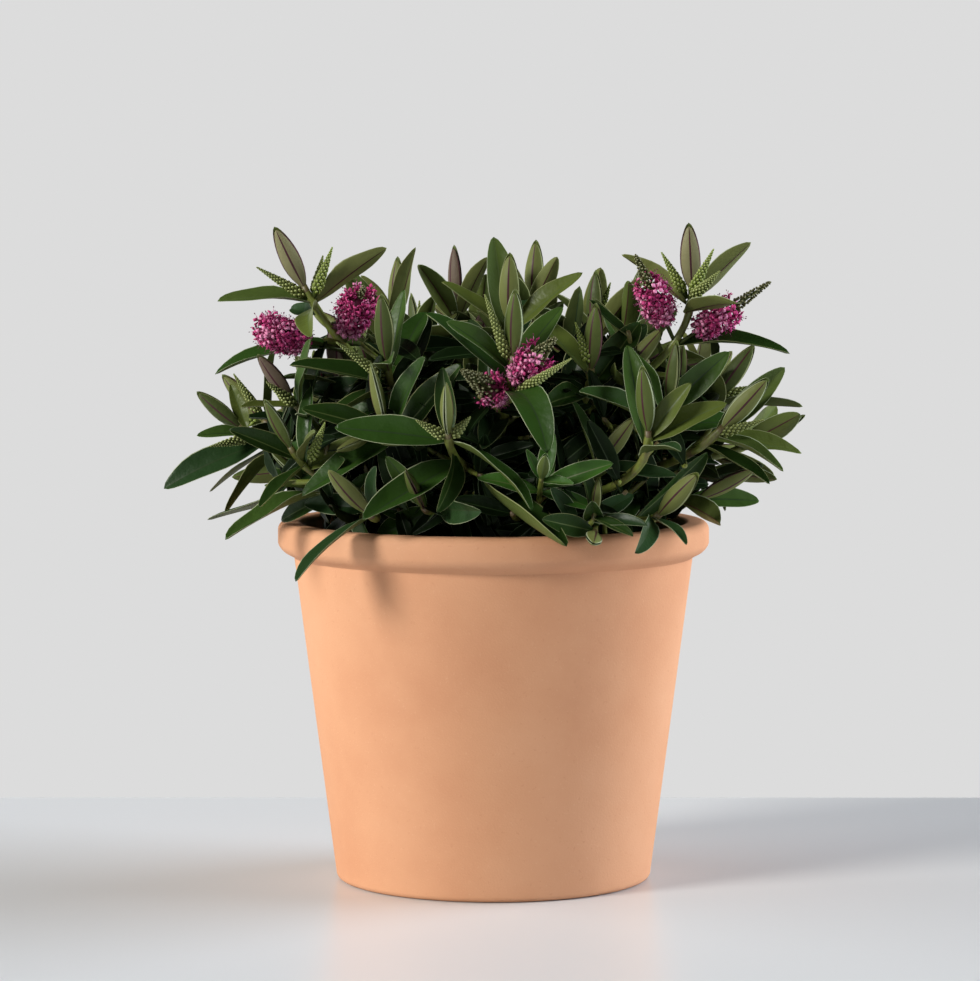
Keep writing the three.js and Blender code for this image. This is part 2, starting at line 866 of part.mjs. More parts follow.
/** Everything that a shoot carries on its twig: its own organs, and those by the rule. */
function organsOf(shoot, curve, random) {
  const length = curve.getLength();
  const size = shoot.size ?? 1;
  const nodeAt = (below, turn) => {
    const { point, axis } = alongTwig(curve, Math.max(0, 1 - ((BUD.stalk + below) * size) / length));
    return { point, axis, outward: outwardFrom(axis, turn) };
  };
  const own = [budOf(shoot, curve, nodeAt(0, shoot.turn + 90).outward, size)];
  for (const [below, tip, centre] of shoot.blooms ?? []) {
    own.push({ kind: "bloom", ...reachingTo(nodeAt(below, 0), tip), centre });
  }
  for (const [below, tip] of shoot.spikes ?? []) {
    own.push({ kind: "spike", ...reachingTo(nodeAt(below, 0), tip), radius: SPIKE.radius });
  }
  for (const [below, tip, recurve, face] of shoot.leaves ?? []) {
    own.push(leafTo(nodeAt(below, 0), tip, recurve, face, random));
  }
  const ruled = [];
  const pairs = shoot.bare ? 0 : (shoot.pairs ?? PAIRS.length);
  for (let k = shoot.skip ?? 0; k < pairs; k++) {
    const pair = { ...PAIRS[k], length: PAIRS[k].length * size };
    const stations = size < 1 || k > 2 ? LEAF.plainStations : LEAF.roundStations;
    for (const opposite of [0, 180]) {
      const node = nodeAt(pair.below, shoot.turn + 90 * k + opposite);
      const leaf = leafOn(node, pair, stations, random);
      const grows = random() < SPIKE.chance && k === 0 && size === 1;
      const reach = SPIKE.length * (1 + about(random, SPIKE.lengthSpread));
      if ((BUD.stalk + pair.below) * size > length) continue;
      ruled.push(leaf);
      if (!grows) continue;
      const root = node.point.clone().addScaledVector(node.axis, SPIKE.above);
      const way = spreading(node.axis, node.outward, SPIKE.open);
      ruled.push({ kind: "spike", root, way, length: reach, radius: SPIKE.radius });
    }
  }
  return { own, ruled };
}

/** A bloom as a solid: its florets about the stalk that carries them. */
function bloomSolid(bloom, extra = 0) {
  const stalk = { ...bloom, radius: BLOOM.stalkRadius };
  return solidOf(bloomGeometry(bloom, extra)).add(solidOf(spikeGeometry(stalk, extra)));
}

/** The part of a leaf or spike that has to stay clear of its own mass, or null where it has none. */
function freePart(organ) {
  if (organ.kind === "leaf") return solidOf(leafGeometry(organ, 0, LEAF.free));
  if (organ.kind !== "spike") return null;
  const root = organ.root.clone().addScaledVector(organ.way, organ.length * SPIKE.free);
  return solidOf(spikeGeometry({ ...organ, root, length: organ.length * (1 - SPIKE.free) }));
}

const SOLIDS = {
  bud: (organ, extra) => solidOf(budGeometry(organ, extra)),
  leaf: (organ, extra) => solidOf(leafGeometry(organ, extra)),
  spike: (organ, extra) => solidOf(spikeGeometry(organ, extra)),
  bloom: bloomSolid,
};

/** Adds a shoot's organs to its mass, leaving out each one that would touch something else. */
function dress(mass, organs, bottom = CROWN.bottom) {
  for (const organ of organs) {
    const solid = SOLIDS[organ.kind](organ, 0);
    if (!insideCrown(organ, solid, bottom)) continue;
    if (touchesOthers(SOLIDS[organ.kind](organ, CLEARANCE), mass.name)) continue;
    const free = freePart(organ);
    if (free && crossesOwn(free, mass.name)) continue;
    mass.solids.push(place(mass.name, solid));
  }
}

/** The side shoot that grows from the axil of a shoot's lower pair, or null where the twig is short. */
function sideShoot(shoot, random) {
  const below = BUD.stalk + SIDE.below + about(random, SIDE_SPREAD.below);
  const turn = shoot.turn + 90 + (random() < 0.5 ? 0 : 180) + about(random, SIDE_SPREAD.turn);
  const along = SIDE.along + about(random, SIDE_SPREAD.along);
  const share = 1 - below / shoot.curve.getLength();
  if (share < SIDE.lowest) return null;
  const { point: root, axis } = alongTwig(shoot.curve, share);
  const outward = outwardFrom(axis, turn);
  const rootWay = axis.clone().add(outward).normalize();
  const way = outward.addScaledVector(axis, along).addScaledVector(UP, SIDE.upward).normalize();
  const half = SIDE.length / 2;
  const point = root.clone().addScaledVector(rootWay, half).addScaledVector(way, half);
  return { root, rootWay, point, way, turn: turn + 45, size: SIDE.size, pairs: SIDE.pairs };
}

/** The masses of the back of the crown, by the same rule as the front ones. */
function backMasses() {
  const count = BACK.boughs.length * BACK.massesPerBough;
  const step = (BACK.to - BACK.from) / (count - 0.5);
  const masses = {};
  for (let i = 0; i < count; i++) {
    const random = seeded(SEED.back + SEED.backStep * i);
    const bough = BACK.boughs[Math.floor(i / BACK.massesPerBough)];
    const shoots = [BACK.high, BACK.low, BACK.rim].map(({ radius, height, lean, pairs }, row) => {
      const azimuth = radians(BACK.from + step * (i + 0.5 * (row % 2)));
      const reach = radius * (1 + about(random, BACK.spread.radius));
      const level = height * (1 + about(random, BACK.spread.height));
      return {
        at: [reach * Math.sin(azimuth), -reach * Math.cos(azimuth), level],
        lean: [lean * Math.sin(azimuth), lean * Math.cos(azimuth)],
        turn: 180 * random(),
        pairs,
      };
    });
    masses[`${bough}_${1 + (i % BACK.massesPerBough)}`] = { bough, shoots };
  }
  return masses;
}

/** Every mass with its shoots' points and ways worked out, in the order in which they are grown. */
function plannedMasses() {
  const all = { ...FRONT_MASSES, ...backMasses() };
  return Object.entries(all).map(([name, { bough, shoots }], i) => ({
    name: `foliage_${name}`,
    bough,
    seed: SEED.mass + SEED.massStep * i,
    solids: [],
    shoots: shoots.map((shoot) => ({ ...shoot, point: vector(...shoot.at), way: leaning(shoot.lean) })),
  }));
}

/** The curve of a bough, from inside the trunk towards the middle of the masses that it carries. */
function boughCurve(name, masses) {
  const start = vector(TRUNK.lean / 2, 0, SOIL.level + BOUGH_HEIGHTS[name]);
  const target = vector(0, 0, 0);
  masses.forEach((mass) => target.addScaledVector(mass.shoots[0].point, 1 / masses.length));
  const fork = start.clone().lerp(target, BOUGH.reach);
  const outward = vector(target.x, target.y, 0).normalize();
  const startWay = outward.multiplyScalar(1 - BOUGH.slope).addScaledVector(UP, BOUGH.slope).normalize();
  return sweep(start, startWay, fork, target.clone().sub(fork).normalize());
}

/** Roots a bough's masses on its tip, side by side where it forks into two. */
function rootMasses(masses, curve) {
  const tip = curve.getPointAt(1);
  const way = curve.getTangentAt(1);
  const ends = masses.map((mass) => mass.shoots[0].point);
  const apart = ends.length > 1 ? squared(ends[0].clone().sub(ends[1]), way) : vector(0, 0, 0);
  masses.forEach((mass, k) => {
    const shift = TWIG.rootRadius * TWIG.apart * (k === 0 ? 1 : -1);
    mass.root = tip.clone().addScaledVector(way, CLEARANCE).addScaledVector(apart, shift);
    mass.rootWay = way;
  });
}

/** Grows the boughs out of the trunk's seat and roots the masses on them. Returns the named boughs. */
function growBoughs(masses) {
  const seat = solidOf(trunkGeometry(1.5 * CLEARANCE));
  const boughs = {};
  for (const name of Object.keys(BOUGH_HEIGHTS)) {
    const carried = masses.filter((mass) => mass.bough === name);
    const curve = boughCurve(name, carried);
    const whole = solidOf(limbGeometry(curve, BOUGH.rootRadius, BOUGH.tipRadius, BOUGH.sides, BOUGH.steps));
    boughs[`bough_${name}`] = place(`bough_${name}`, whole.subtract(seat));
    rootMasses(carried, curve);
  }
  return boughs;
}

/** Grows a mass's twigs: the leading shoot's from the bough, and the others' from a fork in it. */
function growTwigs(mass) {
  const random = seeded(mass.seed);
  const [leader, ...others] = mass.shoots;
  leader.curve = twigCurve(mass.root, mass.rootWay, leader);
  for (const shoot of others) {
    const { point, axis } = alongTwig(leader.curve, TWIG.forkAt + about(random, TWIG.forkSpread));
    const rootWay = axis.add(shoot.point.clone().sub(point).normalize()).normalize();
    shoot.curve = twigCurve(point, rootWay, shoot);
  }
  mass.shoots.forEach((shoot) => mass.solids.push(place(mass.name, twigSolid(shoot.curve))));
}

/** Grows what the masses' shoots carry: first the organs of their own, then those by the rule. */
function growShoots(masses) {
  for (const mass of masses) {
    const random = seeded(mass.seed + SEED.shoots);
    for (const shoot of mass.shoots) Object.assign(shoot, organsOf(shoot, shoot.curve, random));
  }
  for (const kind of ["own", "ruled"]) {
    for (const mass of masses) mass.shoots.forEach((shoot) => dress(mass, shoot[kind], shoot.bottom));
  }
}

/** Grows a mass's side shoots where there is room for them. */
function growSides(mass) {
  const random = seeded(mass.seed + SEED.sides);
  for (const shoot of mass.shoots.filter(({ bare, single }) => !bare && !single)) {
    const side = sideShoot(shoot, random);
    if (!side) continue;
    const curve = twigCurve(side.root, side.rootWay, side);
    const { own, ruled } = organsOf(side, curve, random);
    if (touchesOthers(twigSolid(curve, SIDE.size, CLEARANCE), mass.name)) continue;
    mass.solids.push(place(mass.name, twigSolid(curve, SIDE.size)));
    dress(mass, [...own, ...ruled]);
  }
}

/** Solids joined into one body, without the hollows inside it and without loose scraps. */
const oneBody = (solids) =>
  wasm.Manifold.union(solids).decompose().reduce((a, b) => (b.volume() > a.volume() ? b : a));

// ---------------------------------------------------------------- the model

const finish = (color, roughness) => new THREE.MeshStandardMaterial({ color, roughness, metalness: 0 });
const FINISHES = {
  terracotta: finish(0xd9a37c, 0.85),
  pottingMix: finish(0x2b211a, 1),
  bark: finish(0x6b5a35, 0.8),
  greenBark: finish(0x66702f, 0.6),
  foliage: finish(0x2f4a26, 0.5),
};

/** A named mesh of a solid. */
function piece(name, solid, material) {
  const mesh = new THREE.Mesh(geometryOf(solid), material);
  mesh.name = name;
  return mesh;
}

const pot = place("pot", solidOf(potGeometry()));
const pottingMix = place("potting_mix", solidOf(soilGeometry()));
const trunk = place("trunk", solidOf(trunkGeometry()));
const masses = plannedMasses();
const boughs = growBoughs(masses);
masses.forEach(growTwigs);
growShoots(masses);
masses.forEach(growSides);

const hebe = new THREE.Group();
hebe.add(piece("pot", pot, FINISHES.terracotta));
hebe.add(piece("potting_mix", pottingMix, FINISHES.pottingMix));
hebe.add(piece("trunk", trunk, FINISHES.bark));
for (const [name, solid] of Object.entries(boughs)) hebe.add(piece(name, solid, FINISHES.greenBark));
for (const mass of masses) hebe.add(piece(mass.name, oneBody(mass.solids), FINISHES.foliage));

export default hebe;
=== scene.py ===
"""A flowering hebe shrub in a terracotta pot: its finished leaves, flowers, bark, pot and potting mix.

Lengths in the plant's plan are millimetres, as on a drawing, and meshes are metres. The front faces -Y,
the right-hand side +X, and the origin is the centre of the pot's flat underside.
"""

import logging
import math
from dataclasses import dataclass, field, replace
from enum import Enum
from itertools import combinations
from typing import Any, Optional, Sequence

import bpy
import numpy as np
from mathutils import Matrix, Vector
from mathutils.kdtree import KDTree
from numpy.linalg import norm


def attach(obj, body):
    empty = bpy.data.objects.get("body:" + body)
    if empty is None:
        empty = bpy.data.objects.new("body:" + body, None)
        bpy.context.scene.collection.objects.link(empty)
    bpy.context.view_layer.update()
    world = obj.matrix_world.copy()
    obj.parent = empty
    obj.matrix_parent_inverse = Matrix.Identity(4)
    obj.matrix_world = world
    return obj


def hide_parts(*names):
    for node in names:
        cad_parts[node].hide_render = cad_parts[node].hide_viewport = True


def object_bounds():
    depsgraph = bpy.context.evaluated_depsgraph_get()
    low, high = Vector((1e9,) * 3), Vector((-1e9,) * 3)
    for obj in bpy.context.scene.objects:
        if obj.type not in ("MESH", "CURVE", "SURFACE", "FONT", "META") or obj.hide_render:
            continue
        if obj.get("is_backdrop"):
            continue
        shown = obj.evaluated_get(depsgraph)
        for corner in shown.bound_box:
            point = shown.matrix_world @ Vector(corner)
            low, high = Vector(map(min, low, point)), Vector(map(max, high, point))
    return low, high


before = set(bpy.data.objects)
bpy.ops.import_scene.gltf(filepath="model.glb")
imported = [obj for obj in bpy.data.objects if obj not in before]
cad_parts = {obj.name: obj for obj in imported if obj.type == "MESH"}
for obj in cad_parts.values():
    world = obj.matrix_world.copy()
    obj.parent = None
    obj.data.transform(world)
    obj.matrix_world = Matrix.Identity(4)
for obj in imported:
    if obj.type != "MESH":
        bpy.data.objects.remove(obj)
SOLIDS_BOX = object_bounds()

log = logging.getLogger("hebe")

Point = np.ndarray
Socket = bpy.types.NodeSocket
Colour = tuple[float, float, float]
Place = tuple[float, float, float]

MM = 0.001
UP = np.array([0.0, 0.0, 1.0])
RIGHT = np.array([1.0, 0.0, 0.0])

# The turn from one organ of a spiral to the next, in degrees.
SPIRAL_TURN = 137.5


# ---------------- small helpers


class Chance:
    """A repeatable run of numbers from 0 to 1."""

    FACTOR = 16807
    MODULUS = 2147483647

    def __init__(self, seed: int) -> None:
        """Starts the run at a seed."""
        self.state = seed

    def next(self) -> float:
        """The next number, from 0 to 1."""
        self.state = (self.state * self.FACTOR) % self.MODULUS
        return self.state / self.MODULUS

    def about(self, size: float) -> float:
        """A number spread evenly about 0, up to the given size either way."""
        return (2 * self.next() - 1) * size

    def between(self, low: float, high: float) -> float:
        """A number from low to high."""
        return low + (high - low) * self.next()

    def pick(self, options: Sequence[Any]) -> Any:
        """One of the options."""
        return options[int(self.next() * len(options)) % len(options)]


def unit(v: Point) -> Point:
    """A vector made one long."""
    return v / norm(v)


def squared(v: Point, axis: Point) -> Point:
    """The part of a vector that is square to a unit axis, made a unit vector."""
    return unit(v - axis * (v @ axis))


def turned(v: Point, axis: Point, degrees: float) -> Point:
    """A vector turned about a unit axis by an angle."""
    a = math.radians(degrees)
    return v * math.cos(a) + np.cross(axis, v) * math.sin(a) + axis * (axis @ v) * (1 - math.cos(a))


def beside(way: Point) -> Point:
    """A unit direction square to another: to the right, or up where that one runs to the right."""
    return squared(RIGHT if abs(way[0]) < 0.8 else UP, way)


def frame_on(way: Point) -> Point:
    """Three unit directions as rows, the last of them along a direction."""
    side = beside(way)
    return np.array([side, np.cross(way, side), way])


def outward_from(axis: Point, turn: float) -> Point:
    """The way out of a twig at an angle about it, from its right-hand side towards the front."""
    return turned(squared(RIGHT, axis), axis, -turn)


def spreading(axis: Point, outward: Point, open_: float) -> Point:
    """The direction that opens from an axis towards its side by an angle."""
    return axis * math.cos(math.radians(open_)) + outward * math.sin(math.radians(open_))


def about_pot(azimuth: float, reach: float, level: float) -> Place:
    """The place at an angle from the front about the pot's axis, at a distance from it and a height."""
    return math.sin(azimuth) * reach, -math.cos(azimuth) * reach, level


def leaning(lean: tuple[float, float]) -> Point:
    """The unit vector of a shoot that leans to the right and to the front by these angles."""
    return unit(np.array([math.tan(math.radians(lean[0])), -math.tan(math.radians(lean[1])), 1.0]))


class Sweep:
    """A smooth curve that leaves one point along a direction and reaches another along a direction."""

    KEEP = 0.35
    DIVISIONS = 200

    def __init__(self, start: Point, start_way: Point, end: Point, end_way: Point) -> None:
        """Lays the curve.

        Args:
            start: Its first point.
            start_way: The unit direction in which it leaves it.
            end: Its last point.
            end_way: The unit direction in which it arrives.
        """
        reach = norm(end - start) * self.KEEP
        self.handles = (start, start + start_way * reach, end - end_way * reach, end)
        shares = np.linspace(0, 1, self.DIVISIONS + 1)
        points = self._at(shares)
        steps = norm(np.diff(points, axis=0), axis=1)
        self._lengths = np.concatenate([[0.0], np.cumsum(steps)])
        self._shares = shares
        self.length = float(self._lengths[-1])

    def _at(self, t: Point) -> Point:
        """The points at shares of the curve's own measure."""
        t = np.atleast_1d(t)[:, None]
        a, b, c, d = self.handles
        return a * (1 - t) ** 3 + b * 3 * t * (1 - t) ** 2 + c * 3 * t * t * (1 - t) + d * t**3

    def points(self, shares: Point) -> Point:
        """The points at shares of the curve's length."""
        return self._at(np.interp(np.asarray(shares) * self.length, self._lengths, self._shares))

    def point(self, share: float) -> Point:
        """The point at a share of the curve's length."""
        return self.points(np.array([share]))[0]

    def end_way(self) -> Point:
        """The direction in which the curve arrives."""
        ends = self._at(np.array([0.9999, 1.0]))
        return unit(ends[1] - ends[0])


# ---------------- finishes


class Nodes:
    """The nodes of a material or of the surroundings, with a short way to add and join them."""

    def __init__(self, owner: bpy.types.Material | bpy.types.World) -> None:
        """Switches the owner's nodes on.

        Args:
            owner: The material or the world.
        """
        owner.use_nodes = True
        self.nodes = owner.node_tree.nodes
        self.links = owner.node_tree.links

    def add(self, kind: str, **values) -> bpy.types.Node:
        """Adds a node.

        Args:
            kind: Its type name.
            **values: Its properties, and its inputs by their names with _ for a space.

        Returns:
            The node.
        """
        node = self.nodes.new(kind)
        for name, value in values.items():
            if hasattr(node, name):
                setattr(node, name, value)
            else:
                node.inputs[name.replace("_", " ")].default_value = value
        return node

    def join(self, value: Socket, node: bpy.types.Node, place: str | int) -> None:
        """Joins a value to one of a node's inputs."""
        self.links.new(value, node.inputs[place])


class Board(Nodes):
    """A material's nodes, with the patterns that its finish is laid from."""

    # Where the second colour and the result stand among a colour mix's sockets.
    MIX_FIRST, MIX_SECOND, MIX_RESULT = 6, 7, 2

    def __init__(self, name: str) -> None:
        """Starts a material with one Principled surface.

        Args:
            name: The material's name.
        """
        self.material = bpy.data.materials.new(name)
        super().__init__(self.material)
        self.surface = self.nodes["Principled BSDF"]
        self.place = self.add("ShaderNodeTexCoord").outputs["Object"]

    def noise(self, scale: float, detail: float = 3.0, rough: float = 0.55) -> Socket:
        """A cloudy pattern on the piece's own place.

        Args:
            scale: Its size, in turns per metre.
            detail: How many finer layers it has.
            rough: How strong these are.

        Returns:
            The pattern's value.
        """
        node = self.add("ShaderNodeTexNoise", Scale=scale, Detail=detail, Roughness=rough)
        self.join(self.place, node, "Vector")
        return node.outputs["Fac"]

    def ramp(self, value: Socket, stops: Sequence[tuple[float, Colour]]) -> Socket:
        """Colours along a value.

        Args:
            value: What it follows.
            stops: Each place on it, from 0 to 1, and its colour.

        Returns:
            The colour.
        """
        node = self.add("ShaderNodeValToRGB")
        elements = node.color_ramp.elements
        while len(elements) < len(stops):
            elements.new(0.5)
        for element, (place, colour) in zip(elements, stops):
            element.position = place
            element.color = (*colour, 1.0)
        self.join(value, node, "Fac")
        return node.outputs["Color"]

    def spread(self, value: Socket, low: float, high: float) -> Socket:
        """A value from 0.3 to 0.7 spread from low to high."""
        node = self.add("ShaderNodeMapRange", From_Min=0.3, From_Max=0.7, To_Min=low, To_Max=high)
        self.join(value, node, "Value")
        return node.outputs["Result"]

    def mix(self, share: Socket, first: Socket, second: Colour) -> Socket:
        """A colour with another laid over it by a share.

        Args:
            share: How much the other covers, from 0 to 1.
            first: The colour.
            second: The other.

        Returns:
            The mixed colour.
        """
        node = self.add("ShaderNodeMix", data_type="RGBA")
        self.join(share, node, "Factor")
        self.join(first, node, self.MIX_FIRST)
        node.inputs[self.MIX_SECOND].default_value = (*second, 1.0)
        return node.outputs[self.MIX_RESULT]

    def feed(self, name: str, value: Socket) -> None:
        """Joins a value to one of the surface's inputs."""
        self.join(value, self.surface, name)

    def bump(self, height: Socket, distance: float, strength: float = 1.0) -> None:
        """Raises the surface by a pattern.

        Args:
            height: The pattern.
            distance: Its full height, in metres.
            strength: How much of it shows.
        """
        node = self.add("ShaderNodeBump", Strength=strength, Distance=distance)
        self.join(height, node, "Height")
        self.feed("Normal", node.outputs["Normal"])


BLACK: Colour = (0.0, 0.0, 0.0)


@dataclass(frozen=True)
class Finish:
    """A surface of one colour, with a varied gloss and a fine uneven grain where it has one.

    The grain is a height in metres, and the grain's size is in turns per metre.
    """

    name: str
    colour: Colour
    roughness: float = 0.5
    gloss_spread: float = 0.08
    shine: float = 0.3
    grain: float = 0.00012
    grain_size: float = 260.0

    @property
    def gloss(self) -> tuple[float, float]:
        """The lowest and the highest roughness."""
        return self.roughness - self.gloss_spread, self.roughness + self.gloss_spread

    def material(self) -> bpy.types.Material:
        """The finish's material, made once."""
        made = bpy.data.materials.get(self.name)
        if made:
            return made
        board = Board(self.name)
        self.dress(board)
        return board.material

    def dress(self, board: Board) -> None:
        """Lays the finish on a material's nodes."""
        surface = board.surface.inputs
        surface["Base Color"].default_value = (*self.colour, 1.0)
        surface["Specular IOR Level"].default_value = self.shine
        cloud = board.noise(self.grain_size)
        board.feed("Roughness", board.spread(cloud, *self.gloss))
        if self.grain:
            board.bump(cloud, self.grain)


@dataclass(frozen=True)
class Terracotta(Finish):
    """Unglazed fired clay: soft clouds, fine pale specks and small dark grains."""

    pale: Colour = (0.64, 0.336, 0.19)
    deep: Colour = (0.545, 0.252, 0.13)
    specks: Colour = (0.72, 0.45, 0.29)
    cloud_size: float = 9.0
    pit_size: float = 420.0
    speck_share: float = 0.22
    pit_share: float = 0.5

    def dress(self, board: Board) -> None:
        """Lays the clay on a material's nodes."""
        clouds = board.noise(self.cloud_size, 5.0, 0.6)
        body = board.ramp(clouds, [(0.3, self.deep), (0.5, self.colour), (0.72, self.pale)])
        grain = board.noise(self.grain_size, 2.0)
        sharp = board.ramp(grain, [(0.64, BLACK), (0.72, (self.speck_share,) * 3)])
        flecked = board.mix(sharp, body, self.specks)
        pits = board.ramp(board.noise(self.pit_size, 1.0), [(0.26, (self.pit_share,) * 3), (0.3, BLACK)])
        board.feed("Base Color", board.mix(pits, flecked, self.deep))
        board.feed("Roughness", board.spread(clouds, *self.gloss))
        board.bump(grain, self.grain, 0.5)


@dataclass(frozen=True)
class Bark(Finish):
    """Young bark: streaks of two colours and a fissured grain."""

    gloss_spread: float = 0.1
    streak: Colour = (0.12, 0.08, 0.045)
    stretch: Place = (1.0, 1.0, 0.25)

    def dress(self, board: Board) -> None:
        """Lays the bark on a material's nodes."""
        mapping = board.add("ShaderNodeMapping", Scale=self.stretch)
        board.join(board.place, mapping, "Vector")
        board.place = mapping.outputs["Vector"]
        streaks = board.noise(self.grain_size, 4.0, 0.65)
        board.feed("Base Color", board.ramp(streaks, [(0.34, self.streak), (0.62, self.colour)]))
        board.feed("Roughness", board.spread(streaks, *self.gloss[::-1]))
        board.bump(streaks, self.grain)


@dataclass(frozen=True)
class PottingMix(Finish):
    """Dark crumbling mix with paler fibres."""

    damp: Colour = (0.006, 0.005, 0.004)
    fibre: Colour = (0.11, 0.07, 0.04)

    def dress(self, board: Board) -> None:
        """Lays the mix on a material's nodes."""
        crumbs = board.noise(self.grain_size, 6.0, 0.7)
        stops = [(0.35, self.damp), (0.55, self.colour), (0.75, self.fibre)]
        board.feed("Base Color", board.ramp(crumbs, stops))
        board.feed("Roughness", board.spread(crumbs, *self.gloss))
        board.bump(crumbs, self.grain)


@dataclass(frozen=True)
class LeafDress:
    """The finishes of a leaf: its upper side, its underside, its two midribs and its margin."""

    upper: Finish
    under: Finish
    rib: Finish
    under_rib: Finish
    margin: Finish

    def finishes(self) -> tuple[Finish, ...]:
        """The finishes in the order of the leaf's roles."""
        return self.upper, self.under, self.rib, self.under_rib, self.margin


def leaf_green(name: str, colour: Colour, shine: float = 0.2) -> Finish:
    """A leaf's glossy, slightly quilted upper side, with how strongly it mirrors the lights."""
    return Finish(f"leaf_{name}", colour, 0.4, 0.09, shine=shine, grain=0.0009, grain_size=105.0)


def leaf_matte(name: str, colour: Colour) -> Finish:
    """A leaf's satin underside."""
    return Finish(f"leaf_{name}", colour, 0.5, 0.07, shine=0.16, grain=0.0007, grain_size=120.0)


PURPLE_RIB = Finish("leaf_rib_purple", (0.045, 0.008, 0.015), 0.5)
GREEN_RIB = Finish("leaf_rib_green", (0.07, 0.10, 0.028), 0.45)
DARK_RIB = Finish("leaf_rib_dark", (0.02, 0.04, 0.012), 0.4)
PALE_MARGIN = Finish("leaf_margin_pale", (0.3, 0.34, 0.2), 0.5)
OLIVE_MARGIN = Finish("leaf_margin_olive", (0.2, 0.215, 0.09), 0.5)
PURPLE_MARGIN = Finish("leaf_margin_purple", (0.075, 0.032, 0.032), 0.5)

OLIVE_UNDER = leaf_matte("under_olive", (0.125, 0.142, 0.042))
GREEN_UNDER = leaf_matte("under_green", (0.075, 0.1, 0.024))
SHADE_UNDER = leaf_matte("under_shade", (0.055, 0.075, 0.02))
# The near-black underside of leaves deep inside the crown: painted shade.
DEEP_UNDER = leaf_matte("under_painted_shade", (0.014, 0.02, 0.006))
BRONZE_UNDER = leaf_matte("under_bronze", (0.19, 0.18, 0.09))
MAUVE_UNDER = leaf_matte("under_mauve", (0.115, 0.085, 0.06))
BUD_GREEN = leaf_matte("bud_green", (0.085, 0.11, 0.03))
OLIVE_UPPER = leaf_green("young_olive", (0.08, 0.106, 0.02))


class Age(Enum):
    """How old a leaf is, which sets its colours, or the near-black painted shade of a leaf deep inside the
    crown.
    """

    BUD, BRONZE, DUSKY, OLIVE, YOUNG, PRIME, OLD, DEEP, FRESH = range(9)


DRESSES: dict[Age, tuple[LeafDress, ...]] = {
    Age.BUD: tuple(
        LeafDress(BUD_GREEN, under, GREEN_RIB, PURPLE_RIB, margin)
        for under, margin in ((OLIVE_UNDER, PURPLE_MARGIN), (GREEN_UNDER, PURPLE_MARGIN),
                              (GREEN_UNDER, PALE_MARGIN), (OLIVE_UNDER, OLIVE_MARGIN),
                              (SHADE_UNDER, OLIVE_MARGIN))
    ),
    Age.BRONZE: (LeafDress(OLIVE_UPPER, BRONZE_UNDER, GREEN_RIB, PURPLE_RIB, PURPLE_MARGIN),),
    Age.DUSKY: (LeafDress(BUD_GREEN, MAUVE_UNDER, GREEN_RIB, PURPLE_RIB, PURPLE_MARGIN),),
    Age.OLIVE: (
        LeafDress(OLIVE_UPPER, OLIVE_UNDER, GREEN_RIB, PURPLE_RIB, OLIVE_MARGIN),
        LeafDress(leaf_green("light_olive", (0.062, 0.094, 0.02)), OLIVE_UNDER, GREEN_RIB, PURPLE_RIB,
                  PALE_MARGIN),
    ),
    Age.YOUNG: (
        LeafDress(OLIVE_UPPER, OLIVE_UNDER, GREEN_RIB, PURPLE_RIB, OLIVE_MARGIN),
        LeafDress(leaf_green("young_green", (0.038, 0.076, 0.013)), GREEN_UNDER, DARK_RIB, PURPLE_RIB,
                  PALE_MARGIN),
    ),
    Age.PRIME: (
        LeafDress(leaf_green("prime_green", (0.022, 0.055, 0.008)), GREEN_UNDER, DARK_RIB, GREEN_RIB,
                  PALE_MARGIN),
        LeafDress(leaf_green("prime_blue", (0.017, 0.042, 0.012)), SHADE_UNDER, DARK_RIB, GREEN_RIB,
                  PALE_MARGIN),
        LeafDress(leaf_green("prime_deep", (0.014, 0.035, 0.005)), GREEN_UNDER, GREEN_RIB, GREEN_RIB,
                  OLIVE_MARGIN),
    ),
    Age.OLD: (
        LeafDress(leaf_green("old_green", (0.011, 0.026, 0.005), 0.16), SHADE_UNDER, DARK_RIB, GREEN_RIB,
                  OLIVE_MARGIN),
        LeafDress(leaf_green("old_blue", (0.009, 0.021, 0.006), 0.16), SHADE_UNDER, DARK_RIB, DARK_RIB,
                  OLIVE_MARGIN),
    ),
    # Near-black colours for leaves deep inside the crown: painted shade, not an age.
    Age.DEEP: (
        LeafDress(leaf_green("painted_shade_green", (0.005, 0.012, 0.003), 0.08), DEEP_UNDER, DARK_RIB, DARK_RIB,
                  DARK_RIB),
    ),
    Age.FRESH: (
        LeafDress(leaf_green("fresh_green", (0.03, 0.085, 0.01)), GREEN_UNDER, GREEN_RIB, GREEN_RIB,
                  PALE_MARGIN),
    ),
}

STEM_GREEN = Bark("stem_green", (0.17, 0.215, 0.035), 0.45, grain=0.0002, grain_size=160.0,
                  streak=(0.10, 0.08, 0.026))
STEM_TIP = Bark("stem_tip", (0.13, 0.12, 0.035), 0.45, grain=0.0002, grain_size=220.0,
                streak=(0.085, 0.05, 0.03))
BOUGH_BARK = Bark("bough_bark", (0.13, 0.11, 0.045), 0.7, grain=0.0008, grain_size=160.0)
TRUNK_BARK = Bark("trunk_bark", (0.2, 0.14, 0.08), 0.85, grain=0.0016, grain_size=120.0)

